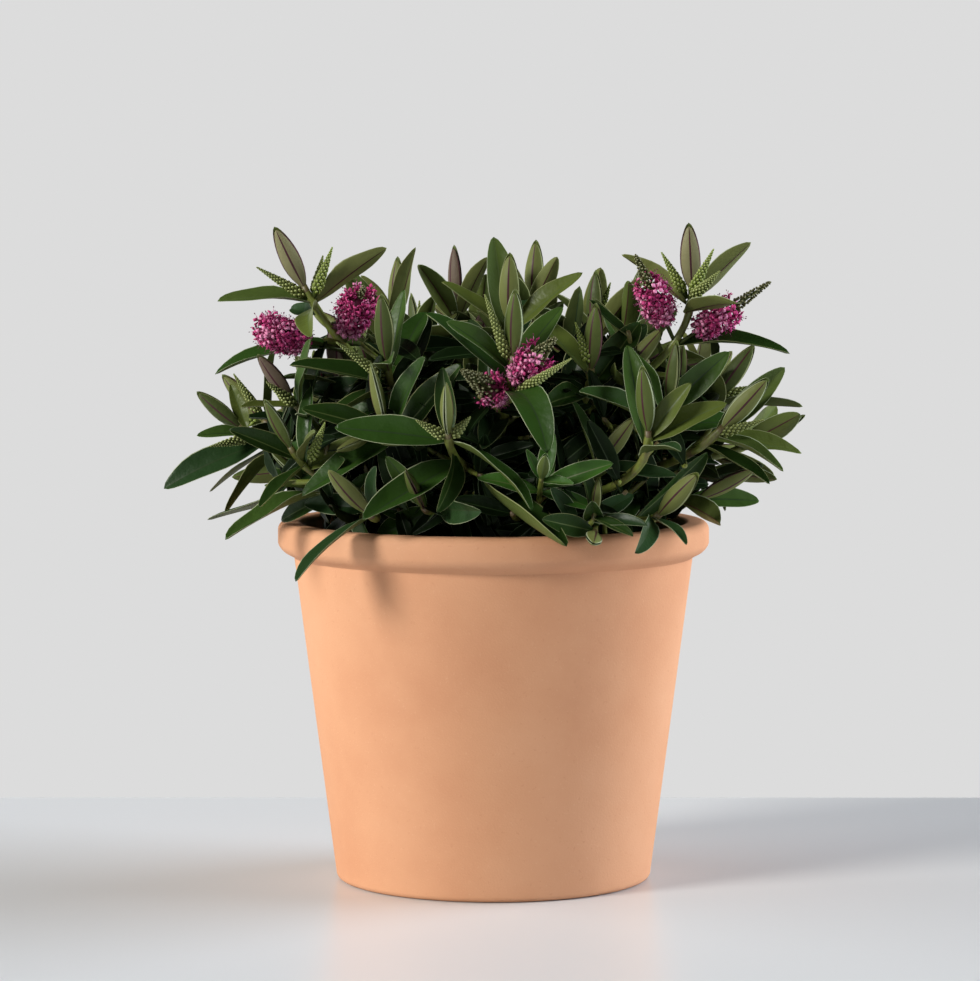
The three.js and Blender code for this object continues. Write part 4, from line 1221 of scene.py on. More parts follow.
def front_masses() -> list[Mass]:
    """The masses of the front and the sides of the crown."""
    return [
        Mass("top_left", "left_high", [
            Shoot((-101, -45, 327), (-26, 8), 0, bare=True, tint=Tint.BRONZE,
                  leaves=((6, (-150, -48, 323), 26), (6, (-58, -45, 352), 14, (-0.4, 0.8, 0.5)),
                          (9, (-97, -88, 305), 48), (14, (-112, -14, 318), 10), (38, (-152, -42, 283), 40)),
                  spikes=((4, (-129, -50, 342)), (4, (-87, -54, 353)), (4, (-93, -36, 348))),
                  blooms=((40, (-126, -62, 309), 0.77, 0.95), (34, (-70, -58, 332), 0.6, 0.8))),
            Shoot((-55, 8, 306), (2, -6), 35, skip=1, single=True,
                  leaves=((2, (-43, -12, 352), 8), (2, (-74, 12, 336), 14))),
        ]),
        Mass("left_centre", "left_high", [
            Shoot((-57, -80, 288), (-4, 10), 20, skip=1,
                  leaves=((2, (-48, -66, 330), 8), (4, (-54, -118, 292), 50), (12, (-109, -88, 290), 16)),
                  spikes=((10, (-84, -96, 303)),)),
            Shoot((-57, -100, 254), (-12, 16), 60, skip=1, tint=Tint.MATURE,
                  leaves=((3, (-102, -106, 268), 14), (3, (-36, -112, 296), 8))),
        ]),
        Mass("middle_left", "left_low", [
            Shoot((-107, -66, 268), (-36, 14), 12, size=0.85, skip=1, tint=Tint.DUSKY,
                  leaves=((2, (-136, -76, 267), 10), (2, (-98, -76, 304), 6)),
                  spikes=((2, (-122, -80, 281)),)),
            Shoot((-138, -8, 250), (-50, 6), 30, size=0.85, skip=2, single=True,
                  leaves=((2, (-146, -2, 276), 6, (0, -1, 0.1)),
                          (5, (-164, -16, 248), 20, (-0.3, -0.6, 0.7)),
                          (16, (-182, -20, 219), 26, (-0.3, -0.8, 0.6)), (22, (-158, -4, 216), 10)),
                  spikes=((8, (-156, -32, 243)),)),
        ]),
        Mass("low_left", "left_low", [
            Shoot((-107, -86, 243), (-27, 20), 25, size=0.85, skip=1, single=True,
                  leaves=((10, (-141, -94, 256), 10), (8, (-94, -114, 256), 20)),
                  spikes=((14, (-89, -106, 261)),)),
            Shoot((-96, -62, 222), (-50, 20), 84, size=0.8, skip=1, single=True,
                  leaves=((4, (-144, -82, 196), 16), (12, (-157, -36, 203), 10, (0, 0, 1)),
                          (2, (-123, -80, 225), 12), (24, (-64, -84, 231), 12))),
            Shoot((-64, -98, 209), (-40, 36), 165, skip=2, single=True, tint=Tint.MATURE,
                  leaves=((2, (-104, -128, 178), 24, (-0.62, -0.1, 0.76)), (4, (-62, -112, 238), 22))),
        ]),
        Mass("front_left", "front_left", [
            Shoot((-24, -114, 252), (-2, 40), 100, bare=True, tint=Tint.MATURE,
                  leaves=((2, (-27, -104, 290), 0), (3, (-84, -112, 258), 14),
                          (3, (20, -128, 215), 40, (0.7, -0.1, 0.7)),
                          (14, (-30, -134, 215), 44, (0.8, -0.5, 0.35)), (28, (-69, -122, 210), 10),
                          (42, (38, -144, 198), -16, (0.45, -0.25, 0.85))),
                  spikes=((1, (-41, -126, 263)), (1, (-12, -126, 265)))),
            Shoot((-36, -96, 212), (-24, 44), 50, size=0.9),
        ]),
        Mass("front_centre", "front_left", [
            Shoot((10, -98, 291), (2, 10), 28, bare=True,
                  leaves=((4, (-25, -110, 314), 20), (12, (-36, -102, 318), 16), (4, (37, -78, 321), 10),
                          (18, (28, -134, 246), 105)),
                  spikes=((2, (-5, -110, 329)), (20, (41, -136, 296))),
                  blooms=((22, (-17, -120, 289), 0.52, 0.35), (12, (33, -114, 306), 0.5, 0.6))),
            Shoot((8, -68, 309), (1, 2), 10, skip=1, tint=Tint.OLIVE,
                  leaves=((3, (48, -66, 339), 12), (3, (-28, -68, 334), 14), (4, (0, -46, 358), 4))),
        ]),
        Mass("top_centre", "centre", [
            Shoot((-21, 38, 312), (-2, -6), 50, skip=1, tint=Tint.DUSKY,
                  leaves=((3, (-3, 30, 346), 18), (4, (-42, 16, 342), 30))),
            Shoot((22, 46, 315), (3, -8), 20, skip=1, tint=Tint.OLIVE,
                  leaves=((4, (36, 34, 346), 14), (6, (2, 30, 350), 16))),
        ]),
        Mass("front_low", "front_right", [
            Shoot((25, -122, 231), (8, 50), 12, size=0.6, skip=1, tint=Tint.FRESH,
                  leaves=((2, (17, -130, 248), 6), (2, (42, -136, 230), 6), (16, (63, -122, 240), 10))),
            Shoot((53, -112, 210), (6, 18), 50, size=0.6, tint=Tint.MATURE,
                  leaves=((8, (81, -122, 207), 12),)),
        ]),
        Mass("front_right", "front_right", [
            Shoot((82, -112, 252), (-6, 14), 30, bare=True,
                  leaves=((4, (71, -92, 301), 6), (3, (123, -112, 271), 16), (2, (104, -116, 282), 8),
                          (12, (98, -136, 247), 36))),
            Shoot((86, -92, 208), (40, 40), 60, skip=1, tint=Tint.MATURE,
                  leaves=((2, (74, -128, 193), 46), (2, (102, -112, 196), 36))),
        ]),
        Mass("right_centre", "right_high", [
            Shoot((52, -72, 283), (4, 10), 30),
            Shoot((93, -85, 264), (6, 12), 70, skip=1,
                  leaves=((2, (126, -80, 297), 8), (2, (76, -70, 296), 10))),
        ]),
        Mass("top_right", "right_high", [
            Shoot((108, -42, 325), (-3, 6), 0, bare=True, tint=Tint.BRONZE,
                  leaves=((4, (70, -28, 348), 26, (0.4, 0.7, 0.6)),
                          (4, (140, -42, 355), 6, (-0.4, 0.6, 0.5)), (9, (130, -88, 323), 16),
                          (30, (162, -36, 294), 36)),
                  spikes=((1, (91, -44, 350)), (1, (119, -58, 352)), (3, (122, -66, 340))),
                  blooms=((26, (76, -66, 349), 0.5, 0.8), (36, (151, -46, 334), 0.54, 0.75))),
            Shoot((56, 26, 298), (2, -4), 40, single=True),
        ]),
        Mass("right", "right_low", [
            Shoot((120, -78, 253), (42, 10), 20, bare=True, tint=Tint.OLIVE,
                  leaves=((2, (157, -66, 288), 6), (3, (155, -86, 233), 26), (6, (167, -58, 241), 16),
                          (12, (148, -82, 226), 12)), spikes=((4, (145, -86, 261)),)),
            Shoot((108, -50, 214), (62, 8), 10, skip=1,
                  leaves=((3, (146, -30, 213), 14), (8, (121, -92, 206), 16))),
        ]),
        Mass("far_right", "right_low", [
            Shoot((122, 14, 264), (36, -4), 0),
            Shoot((137, -6, 240), (62, -2), 60, skip=1, pairs=1,
                  leaves=((3, (168, -34, 261), 12), (3, (160, 34, 262), 12))),
        ]),
    ]


@dataclass(frozen=True)
class BackRow:
    """One of the shoots that each mass of the back has."""

    radius: float
    height: float
    lean: float
    pairs: int = len(PAIRS)


@dataclass(frozen=True)
class BackPlan:
    """The rule for the back of the crown."""

    boughs: tuple[str, ...] = ("back_right", "back", "back_left")
    masses_per_bough: int = 2
    start: float = 112.0
    end: float = 250.0
    rows: tuple[BackRow, ...] = (BackRow(88, 289, 14), BackRow(132, 250, 46), BackRow(96, 214, 62, 3))
    radius_spread: float = 0.1
    height_spread: float = 0.05
    seed: int = 501
    seed_step: int = 37

    def masses(self) -> list[Mass]:
        """The masses of the back of the crown."""
        count = len(self.boughs) * self.masses_per_bough
        made = []
        for i in range(count):
            chance = Chance(self.seed + self.seed_step * i)
            bough = self.boughs[i // self.masses_per_bough]
            shoots = []
            for row, plan in enumerate(self.rows):
                share = (i + 0.5 * (row % 2)) / (count - 0.5)
                azimuth = math.radians(self.start + (self.end - self.start) * share)
                reach = plan.radius * (1 + chance.about(self.radius_spread))
                level = plan.height * (1 + chance.about(self.height_spread))
                lean = (plan.lean * math.sin(azimuth), plan.lean * math.cos(azimuth))
                turn = 180 * chance.next()
                shoots.append(Shoot(about_pot(azimuth, reach, level), lean, turn, pairs=plan.pairs))
            made.append(Mass(f"{bough}_{1 + i % self.masses_per_bough}", bough, shoots))
        return made


@dataclass(frozen=True)
class TwigNode:
    """A place on a twig where organs stand: the point, the twig's way there and the way out."""

    point: Point
    axis: Point
    outward: Point

    TO_SKY = 0.35
    TO_SIDE = 0.6

    def light(self) -> Point:
        """The way that a leaf's face looks here: along the twig, to the sky and outwards."""
        side = unit(np.array([self.point[0], self.point[1], 0.0]))
        return self.axis + UP * self.TO_SKY + side * self.TO_SIDE


Organ = Leaf | Bud | Spike | Bloom


@dataclass
class Twig:
    """A twig as it is drawn: its curve, its radii and where its leaves stand."""

    curve: Sweep
    root_radius: float
    tip_radius: float
    fresh: bool = False
    end: float = 1.0

    NODE_SWELL, NODE_LENGTH = 0.14, 2.6
    STEP, SIDES = 3.5, 8
    POINTED, BLUNT = 4.0, 0.12
    DARK_TIP = 7.0

    def build(self, draft: Draft, nodes: Sequence[float]) -> None:
        """Adds the twig to a piece, a little swollen where leaves stand.

        Args:
            draft: The piece.
            nodes: Shares of its length where leaves stand.
        """
        count = max(5, int(self.curve.length / self.STEP))
        shares = np.linspace(0, self.end, count + 1)
        radii = self.root_radius + (self.tip_radius - self.root_radius) * shares
        if self.end < 1:
            radii = radii * np.clip((self.end - shares) * self.curve.length / self.POINTED, self.BLUNT, 1)
        for node in nodes:
            away = (shares - node) * self.curve.length / self.NODE_LENGTH
            radii = radii * (1 + self.NODE_SWELL * np.exp(-(away**2)))
        from_tip = (1 - shares[:-1]) * self.curve.length
        tip = STEM_GREEN if self.fresh else STEM_TIP
        finishes = [tip if left < self.DARK_TIP else STEM_GREEN for left in from_tip]
        tube(draft, self.curve.points(shares), radii, self.SIDES, finishes)


@dataclass
class Crown:
    """The plant above its trunk: boughs, twigs, leaves, buds, flower spikes and blooms."""

    soil_level: float = 178.0
    clearance: float = 0.3
    trunk_height: float = 34.0
    trunk_lean: float = 2.5
    bough_slope: float = 0.42
    bough_reach: float = 0.34
    bough_root: float = 4.0
    bough_tip: float = 3.3
    twig_root: float = 3.0
    twig_tip: float = 2.2
    rooted: float = 0.5
    fork_at: float = 0.36
    fork_spread: float = 0.06
    apart: float = 1.12
    bud_stalk: float = 5.0
    bud_length: float = 38.0
    bud_width: float = 5.6
    bud_depth: float = 2.7
    bud_sunk: float = 2.0
    spike_length: float = 27.0
    spike_radius: float = 3.2
    bloom_radius: float = 11.5
    spike_share: float = 0.62
    spike_open: float = 32.0
    spike_foot: float = 5.0
    side_below: float = 50.0
    side_length: float = 40.0
    side_size: float = 0.84
    side_least: float = 0.12
    side_along: float = 0.55
    side_pairs: int = 2
    side_rise: float = 0.5
    young_below: float = 10.0
    masses: list[Mass] = field(default_factory=list)
    boughs: dict[str, Sweep] = field(default_factory=dict)
    twigs: list[tuple[Twig, list[float]]] = field(default_factory=list)
    organs: list[tuple[Organ, str]] = field(default_factory=list)

    BOUGH_HEIGHTS = {
        "left_low": 7, "front_right": 7, "back_right": 7, "back_left": 7, "front_left": 16,
        "right_low": 17, "back": 16, "left_high": 27, "right_high": 27, "centre": 27,
    }
    # How near an organ's tip comes to a corner of its mass's solid that has the organ, in millimetres.
    MATCH = 0.12
    # How far the rule's numbers stray either way: a leaf's angles, and shares of an organ's length.
    OPEN_STRAY, BEND_STRAY, TWIST_STRAY = 8, 14, 18
    LEAF_STRAY, SPIKE_STRAY = 0.08, 0.2
    # The same for a side shoot: its place, its turn, and how much it keeps to its twig.
    SIDE_STRAY, SIDE_TURN, ALONG_STRAY = 8, 25, 0.15
    # How many straight steps the rule measures a twig in.
    STEPS = 4
    # Where each mass's runs of chance begin, and how far they stand from its own seed.
    FIRST_SEED, SEED_STEP, LEADING_RUN, SIDE_RUN = 11, 101, 7, 13
    BLOOM_SEED, FILLING_SEED, STYLE_SEED = 1000, 4242, 99
    # The shares of a bare leading twig that stay in sight.
    IN_SIGHT = np.linspace(0.55, 1, 14)
    # How thick the root and the tip of a twig in the solids are beside those of the rule.
    FULL_TWIG = (0.95, 0.9)
    # How far a cut twig reaches beyond its outermost organ, in millimetres.
    BEYOND = 4.0
    # How wavy and how far folded leaves are, from the least to the most.
    WAVES, FOLDS = (0.05, 0.15), (16, 34)
    FULL_TURN = 6.28

    # ---------------- planning

    def plan(self) -> None:
        """Works out the masses, their boughs and their twigs by the plant's rule."""
        self.masses = front_masses() + BackPlan().masses()
        for i, mass in enumerate(self.masses):
            mass.seed = self.FIRST_SEED + self.SEED_STEP * i
            mass.tips = self._corners(mass.node)
            for shoot in mass.shoots:
                shoot.way = leaning(shoot.lean)
        for name in self.BOUGH_HEIGHTS:
            self._grow_bough(name, [mass for mass in self.masses if mass.bough == name])
        for mass in self.masses:
            self._grow_twigs(mass)

    @staticmethod
    def _corners(node: str) -> KDTree:
        """A solid's corners in millimetres, for finding the nearest."""
        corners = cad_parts[node].data.vertices
        tree = KDTree(len(corners))
        for i, corner in enumerate(corners):
            tree.insert(corner.co / MM, i)
        tree.balance()
        return tree

    def _grow_bough(self, name: str, carried: list[Mass]) -> None:
        """Lays a bough from inside the trunk and roots its masses on its tip.

        Args:
            name: The bough's name.
            carried: The masses that it carries.
        """
        start = np.array([self.trunk_lean / 2, 0.0, self.soil_level + self.BOUGH_HEIGHTS[name]])
        target = sum(mass.shoots[0].point for mass in carried) / len(carried)
        fork = start + (target - start) * self.bough_reach
        outward = unit(np.array([target[0], target[1], 0.0]))
        start_way = unit(outward * (1 - self.bough_slope) + UP * self.bough_slope)
        curve = Sweep(start, start_way, fork, unit(target - fork))
        self.boughs[name] = curve
        way, tip = curve.end_way(), curve.point(1.0)
        apart = np.zeros(3)
        if len(carried) > 1:
            apart = squared(carried[0].shoots[0].point - carried[1].shoots[0].point, way)
        for k, mass in enumerate(carried):
            shift = self.twig_root * self.apart * (1 if k == 0 else -1)
            mass.root = tip + way * self.clearance + apart * shift
            mass.root_way = way

    def twig_curve(self, root: Point, root_way: Point, shoot: Shoot) -> Sweep:
        """The curve of a shoot's twig, from its root to the bud's foot."""
        return Sweep(root, root_way, shoot.point + shoot.way * self.bud_stalk * shoot.size, shoot.way)

    @staticmethod
    def _along(curve: Sweep, share: float) -> tuple[Point, Point]:
        """The point at a share of a twig's length and the twig's way there."""
        count = Crown.STEPS
        step = min(int(share * count), count - 1)
        start, end = curve.points(np.array([step / count, (step + 1) / count]))
        return start + (end - start) * (share * count - step), unit(end - start)

    def _grow_twigs(self, mass: Mass) -> None:
        """Lays a mass's twigs: the leading shoot's from the bough, and the others' from a fork in it."""
        chance = Chance(mass.seed)
        leader, *others = mass.shoots
        leader.curve = self.twig_curve(mass.root, mass.root_way, leader)
        for shoot in others:
            point, axis = self._along(leader.curve, self.fork_at + chance.about(self.fork_spread))
            shoot.curve = self.twig_curve(point, unit(axis + unit(shoot.point - point)), shoot)

    # ---------------- the rule's organs

    def _node(self, shoot: Shoot, below: float, turn: float) -> TwigNode:
        """The place on a shoot's twig at a distance below its bud's foot."""
        share = max(0.0, 1 - (self.bud_stalk + below) * shoot.size / shoot.curve.length)
        point, axis = self._along(shoot.curve, share)
        return TwigNode(point, axis, outward_from(axis, turn))

    def _leaf(self, node: TwigNode, rule: Pair, chance: Chance) -> Leaf:
        """A leaf of a pair by the plant's rule, at a twig's node."""
        way = spreading(node.axis, node.outward, rule.open + chance.about(self.OPEN_STRAY))
        length = rule.length * (1 + chance.about(self.LEAF_STRAY))
        recurve = rule.recurve + chance.about(self.BEND_STRAY)
        twist = chance.about(self.TWIST_STRAY)
        return Leaf(node.point + node.outward * self.rooted, way, squared(node.light(), way), length,
                    length * LEAF_WIDTH, recurve=recurve, twist=twist)

    def _reaching(self, node: TwigNode, tip: Place) -> tuple[Point, Point, float]:
        """An organ's root, way and length, from a twig's node to the place that its tip reaches."""
        end = np.array(tip, float)
        root = node.point + squared(end - node.point, node.axis) * self.rooted
        chord = end - root
        return root, unit(chord), float(norm(chord))

    def _leaf_to(self, node: TwigNode, tip: Place, recurve: float, face: list[Place],
                 chance: Chance) -> Leaf:
        """A leaf from a twig's node to the place that its tip reaches.

        Args:
            node: The node.
            tip: The place that the tip reaches.
            recurve: How far the midrib bends back, in degrees.
            face: Holds the way its face looks, or nothing.
            chance: The run of chance.

        Returns:
            The leaf.
        """
        root, way, length = self._reaching(node, tip)
        half = math.radians(recurve) / 2
        up = squared(np.array(face[0], float) if face else node.light(), way)
        size = length * half / math.sin(half) if half else length
        start = way * math.cos(half) + up * math.sin(half)
        face_way = up * math.cos(half) - way * math.sin(half)
        return Leaf(root, start, face_way, size, size * LEAF_WIDTH, recurve=recurve,
                    twist=chance.about(self.TWIST_STRAY))

    def organs_of(self, shoot: Shoot, chance: Chance) -> list[Organ]:
        """Everything that a shoot carries on its twig by the plant's rule.

        Args:
            shoot: The shoot.
            chance: Its mass's run of chance.

        Returns:
            The organs, in the order in which they are kept.
        """
        size = shoot.size
        up = squared(self._node(shoot, 0, shoot.turn + 90).outward, shoot.way)
        root = shoot.curve.point(1.0) - shoot.way * self.bud_sunk
        organs: list[Organ] = [Bud(root, shoot.way, self.bud_length * size, up, self.bud_width * size,
                                   self.bud_depth * size, age=shoot.tint.bud)]
        for below, tip, centre, opened in shoot.blooms:
            reached = self._reaching(self._node(shoot, below, 0), tip)
            seed = int(self.BLOOM_SEED + 3 * tip[0])
            organs.append(Bloom(*reached, self.bloom_radius, opened, centre, seed))
        for below, tip in shoot.spikes:
            organs.append(Spike(*self._reaching(self._node(shoot, below, 0), tip), self.spike_radius))
        for below, tip, recurve, *face in shoot.leaves:
            leaf = self._leaf_to(self._node(shoot, below, 0), tip, recurve, face, chance)
            is_young = below < self.young_below or shoot.tint is Tint.FRESH
            leaf.age = shoot.tint.young if is_young else Age.PRIME
            leaf.planned = True
            organs.append(leaf)
        for k in range(shoot.skip, 0 if shoot.bare else shoot.pairs):
            pair = replace(PAIRS[k], length=PAIRS[k].length * size)
            for opposite in (0, 180):
                node = self._node(shoot, pair.below, shoot.turn + 90 * k + opposite)
                leaf = self._leaf(node, pair, chance)
                grows = chance.next() < self.spike_share and k == 0 and size == 1
                reach = self.spike_length * (1 + chance.about(self.SPIKE_STRAY))
                if (self.bud_stalk + pair.below) * size > shoot.curve.length:
                    continue
                leaf.age = (shoot.tint.young, *LOWER_AGES)[k]
                organs.append(leaf)
                if grows:
                    foot = node.point + node.axis * self.spike_foot
                    way = spreading(node.axis, node.outward, self.spike_open)
                    organs.append(Spike(foot, way, reach, self.spike_radius))
        return organs

    def _side_shoot(self, shoot: Shoot, chance: Chance) -> Optional[Shoot]:
        """The side shoot in the axil of a shoot's lower pair, or None where the twig is short."""
        below = self.bud_stalk + self.side_below + chance.about(self.SIDE_STRAY)
        turn = shoot.turn + 90 + (0 if chance.next() < 0.5 else 180) + chance.about(self.SIDE_TURN)
        along = self.side_along + chance.about(self.ALONG_STRAY)
        share = 1 - below / shoot.curve.length
        if share < self.side_least:
            return None
        return self.shoot_from(shoot, share, turn, along, self.side_size, self.side_length, self.side_pairs)

    def shoot_from(self, shoot: Shoot, share: float, turn: float, along: float, size: float,
                   reach: float, pairs: int) -> Shoot:
        """A smaller shoot that grows out of another's twig.

        Args:
            shoot: The shoot that carries it.
            share: Where it stands on that twig.
            turn: The angle about that twig at which it leaves.
            along: How much it keeps to that twig's way.
            size: Its size beside a full shoot's.
            reach: Its length in millimetres.
            pairs: How many pairs of leaves it has.

        Returns:
            The new shoot, with its curve.
        """
        root, axis = self._along(shoot.curve, share)
        outward = outward_from(axis, turn)
        root_way = unit(axis + outward)
        way = unit(outward + axis * along + UP * self.side_rise)
        point = root + root_way * reach / 2 + way * reach / 2
        side = Shoot(tuple(point), turn=turn + 45, size=size, pairs=pairs, way=way, tint=shoot.tint)
        side.curve = self.twig_curve(root, root_way, side)
        return side

    # ---------------- growing

    def grow(self) -> None:
        """Grows every mass: what the solids hold, then what was left out of them, then finer twigs."""
        missed: list[tuple[Organ, str]] = []
        shoots: list[tuple[Shoot, Mass]] = []
        for mass in self.masses:
            chance = Chance(mass.seed + self.LEADING_RUN)
            for shoot in mass.shoots:
                self._keep(mass, shoot, self.organs_of(shoot, chance), missed)
                shoots.append((shoot, mass))
        for mass in self.masses:
            chance = Chance(mass.seed + self.SIDE_RUN)
            for shoot in list(mass.shoots):
                side = None if shoot.bare or shoot.single else self._side_shoot(shoot, chance)
                if side and self._keep(mass, side, self.organs_of(side, chance), missed):
                    shoots.append((side, mass))
        log.info("the solids hold %d organs", len(self.organs))
        leading = [shoot.curve.points(self.IN_SIGHT) for mass in self.masses
                   for shoot in mass.shoots if shoot.bare]
        room = Room([organ for organ, _ in self.organs], np.concatenate(leading))
        filling = Filling(self, room, Chance(self.FILLING_SEED))
        for organ, bough in missed:
            filling.fit(organ, bough, filling.dome)
        log.info("%d with those left out of the solids", len(self.organs))
        filling.grow_twigs(shoots)
        filling.grow_skirt()
        log.info("%d with the finer twigs", len(self.organs))

    def _keep(self, mass: Mass, shoot: Shoot, organs: list[Organ], missed: list[tuple[Organ, str]]) -> bool:
        """Keeps a shoot and the organs whose tips its mass's solid has.

        Args:
            mass: The mass.
            shoot: The shoot.
            organs: Its organs by the rule.
            missed: Takes those that the solid lacks.

        Returns:
            True where the solid has any of them.
        """
        held = [mass.tips.find(Vector(organ.tip()))[2] < self.MATCH for organ in organs]
        if not any(held):
            return False
        for organ, has in zip(organs, held):
            if isinstance(organ, Leaf) and shoot.tint is Tint.FRESH:
                organ.age = Age.FRESH
            (self.organs if has else missed).append((organ, mass.bough))
        belows = [pair.below for pair in PAIRS[: shoot.pairs]]
        if shoot.bare:
            belows = sorted({leaf[0] for leaf in shoot.leaves})
        self.add_twig(shoot, belows, [organ for organ, has in zip(organs, held) if has], self.FULL_TWIG)
        return True

    def add_twig(self, shoot: Shoot, belows: list[float], organs: list[Organ],
                 share: tuple[float, float]) -> None:
        """Adds a shoot's twig.

        Args:
            shoot: The shoot.
            belows: How far below its bud's foot its nodes stand.
            organs: The organs that it keeps.
            share: How thick the twig's root and tip are beside a full twig's.
        """
        size = shoot.size
        nodes = [1 - (self.bud_stalk + below) * size / shoot.curve.length for below in belows]
        root, tip = self.twig_root * size * share[0], self.twig_tip * size * share[1]
        twig = Twig(shoot.curve, root, tip, shoot.tint is Tint.FRESH, self._end(shoot, organs))
        self.twigs.append((twig, nodes))

    def _end(self, shoot: Shoot, organs: Sequence[Organ]) -> float:
        """The share of a shoot's twig that reaches its outermost organ: all of it where that is its bud."""
        if any(isinstance(organ, Bud) for organ in organs):
            return 1.0
        shares = np.linspace(0, 1, 41)
        points = shoot.curve.points(shares)
        near = [shares[norm(points - organ.root, axis=1).argmin()] for organ in organs]
        return min(1.0, max(near) + self.BEYOND / shoot.curve.length)

    # ---------------- pieces

    def build(self) -> None:
        """Makes the crown's pieces, each kind apart."""
        chance = Chance(self.STYLE_SEED)
        leaves = {name: Draft(f"leaves_{name}", "foliage") for name in self.boughs}
        spikes, blossom = Draft("flower_spikes", "foliage"), Draft("blossom", "blossom")
        twigs = Draft("twigs", "green_bark")
        for organ, bough in self.organs:
            if isinstance(organ, Bloom):
                organ.build(spikes, blossom)
                continue
            organ.tone = chance.next()
            if isinstance(organ, Leaf):
                organ.phase = chance.between(0, self.FULL_TURN)
                organ.wave = chance.between(*self.WAVES)
                organ.fold = chance.between(*self.FOLDS)
            organ.build(spikes if isinstance(organ, Spike) else leaves[bough])
        for twig, nodes in self.twigs:
            twig.build(twigs, nodes)
        for name, draft in leaves.items():
            draft.piece(*[mass.node for mass in self.masses if mass.bough == name])
        spikes.piece()
        blossom.piece()
        twigs.piece()


class Room:
    """The room that is left in the crown for more leaves.

    New ones stay inside the crown's dome and out of the way of the blooms and of the leaves that the plan
    names, so that these stand free towards the front.
    """

    DOME = np.array([178.0, 158.0, 141.0])
    DOME_MIDDLE = np.array([0.0, 0.0, 225.0])
    BLOOM_CLEAR = 13.0
    LEAF_CLEAR = 6.0
    STEM_CLEAR = 5.0
    # How near the outer part of a leaf may come to another.
    NEAR = 2.6
    # How far from an organ of the solids a new tip may reach, and how far inside their box it stays.
    REACH = 30.0
    MARGIN = 1.5
    # The potting mix's height with its crumbs, and the height and width of the pot's lip with a leaf's.
    MIX_TOP, LIP_TOP, LIP_REACH = 181, 203, 98

    def __init__(self, organs: Sequence[Organ], stems: Point) -> None:
        """Starts with the organs that are there.

        Args:
            organs: The organs.
            stems: Places on the leading twigs, which stay in sight too.
        """
        self.taken = np.concatenate([organ.samples() for organ in organs])
        self.held = self.taken.copy()
        low, high = SOLIDS_BOX
        self.low, self.high = np.array(low) / MM + self.MARGIN, np.array(high) / MM - self.MARGIN
        self.free, self.clear = self._shown(organs, stems)

    def _shown(self, organs: Sequence[Organ], stems: Point) -> tuple[Point, Point]:
        """The places that stay free towards the front, and how far about each."""
        free, clear = [stems], [[self.STEM_CLEAR] * len(stems)]
        for organ in organs:
            if isinstance(organ, Bloom):
                free.append(organ.heart()[None])
                clear.append([self.BLOOM_CLEAR])
            elif isinstance(organ, Leaf) and organ.planned:
                free.append(organ.samples())
                clear.append([self.LEAF_CLEAR] * len(free[-1]))
        return np.concatenate(free), np.concatenate(clear)

    def _hides(self, points: Point) -> bool:
        """Whether any of the points stands in front of a place that stays free."""
        apart = points[:, None] - self.free[None]
        across = np.hypot(apart[:, :, 0], apart[:, :, 2])
        return bool(((apart[:, :, 1] < -1.0) & (across < self.clear[None])).any())

    def take(self, organ: Organ, dome: float) -> bool:
        """Takes the room for an organ if it is free.

        Args:
            organ: The organ.
            dome: The share of the crown's dome that it stays inside.

        Returns:
            True where it was free.
        """
        points = organ.samples()
        tip = organ.tip()
        if (points < self.low).any() or (points > self.high).any():
            return False
        lowest = points[:, 2].min()
        if norm((tip - self.DOME_MIDDLE) / self.DOME) > dome or lowest < self.MIX_TOP:
            return False
        if lowest < self.LIP_TOP and np.hypot(points[:, 0], points[:, 1]).max() > self.LIP_REACH:
            return False
        if norm(self.held - tip, axis=1).min() > self.REACH or self._hides(points):
            return False
        gaps = norm(self.taken[:, None] - points[None], axis=2)
        if gaps.min() < self.NEAR:
            return False
        self.taken = np.concatenate([self.taken, points])
        return True


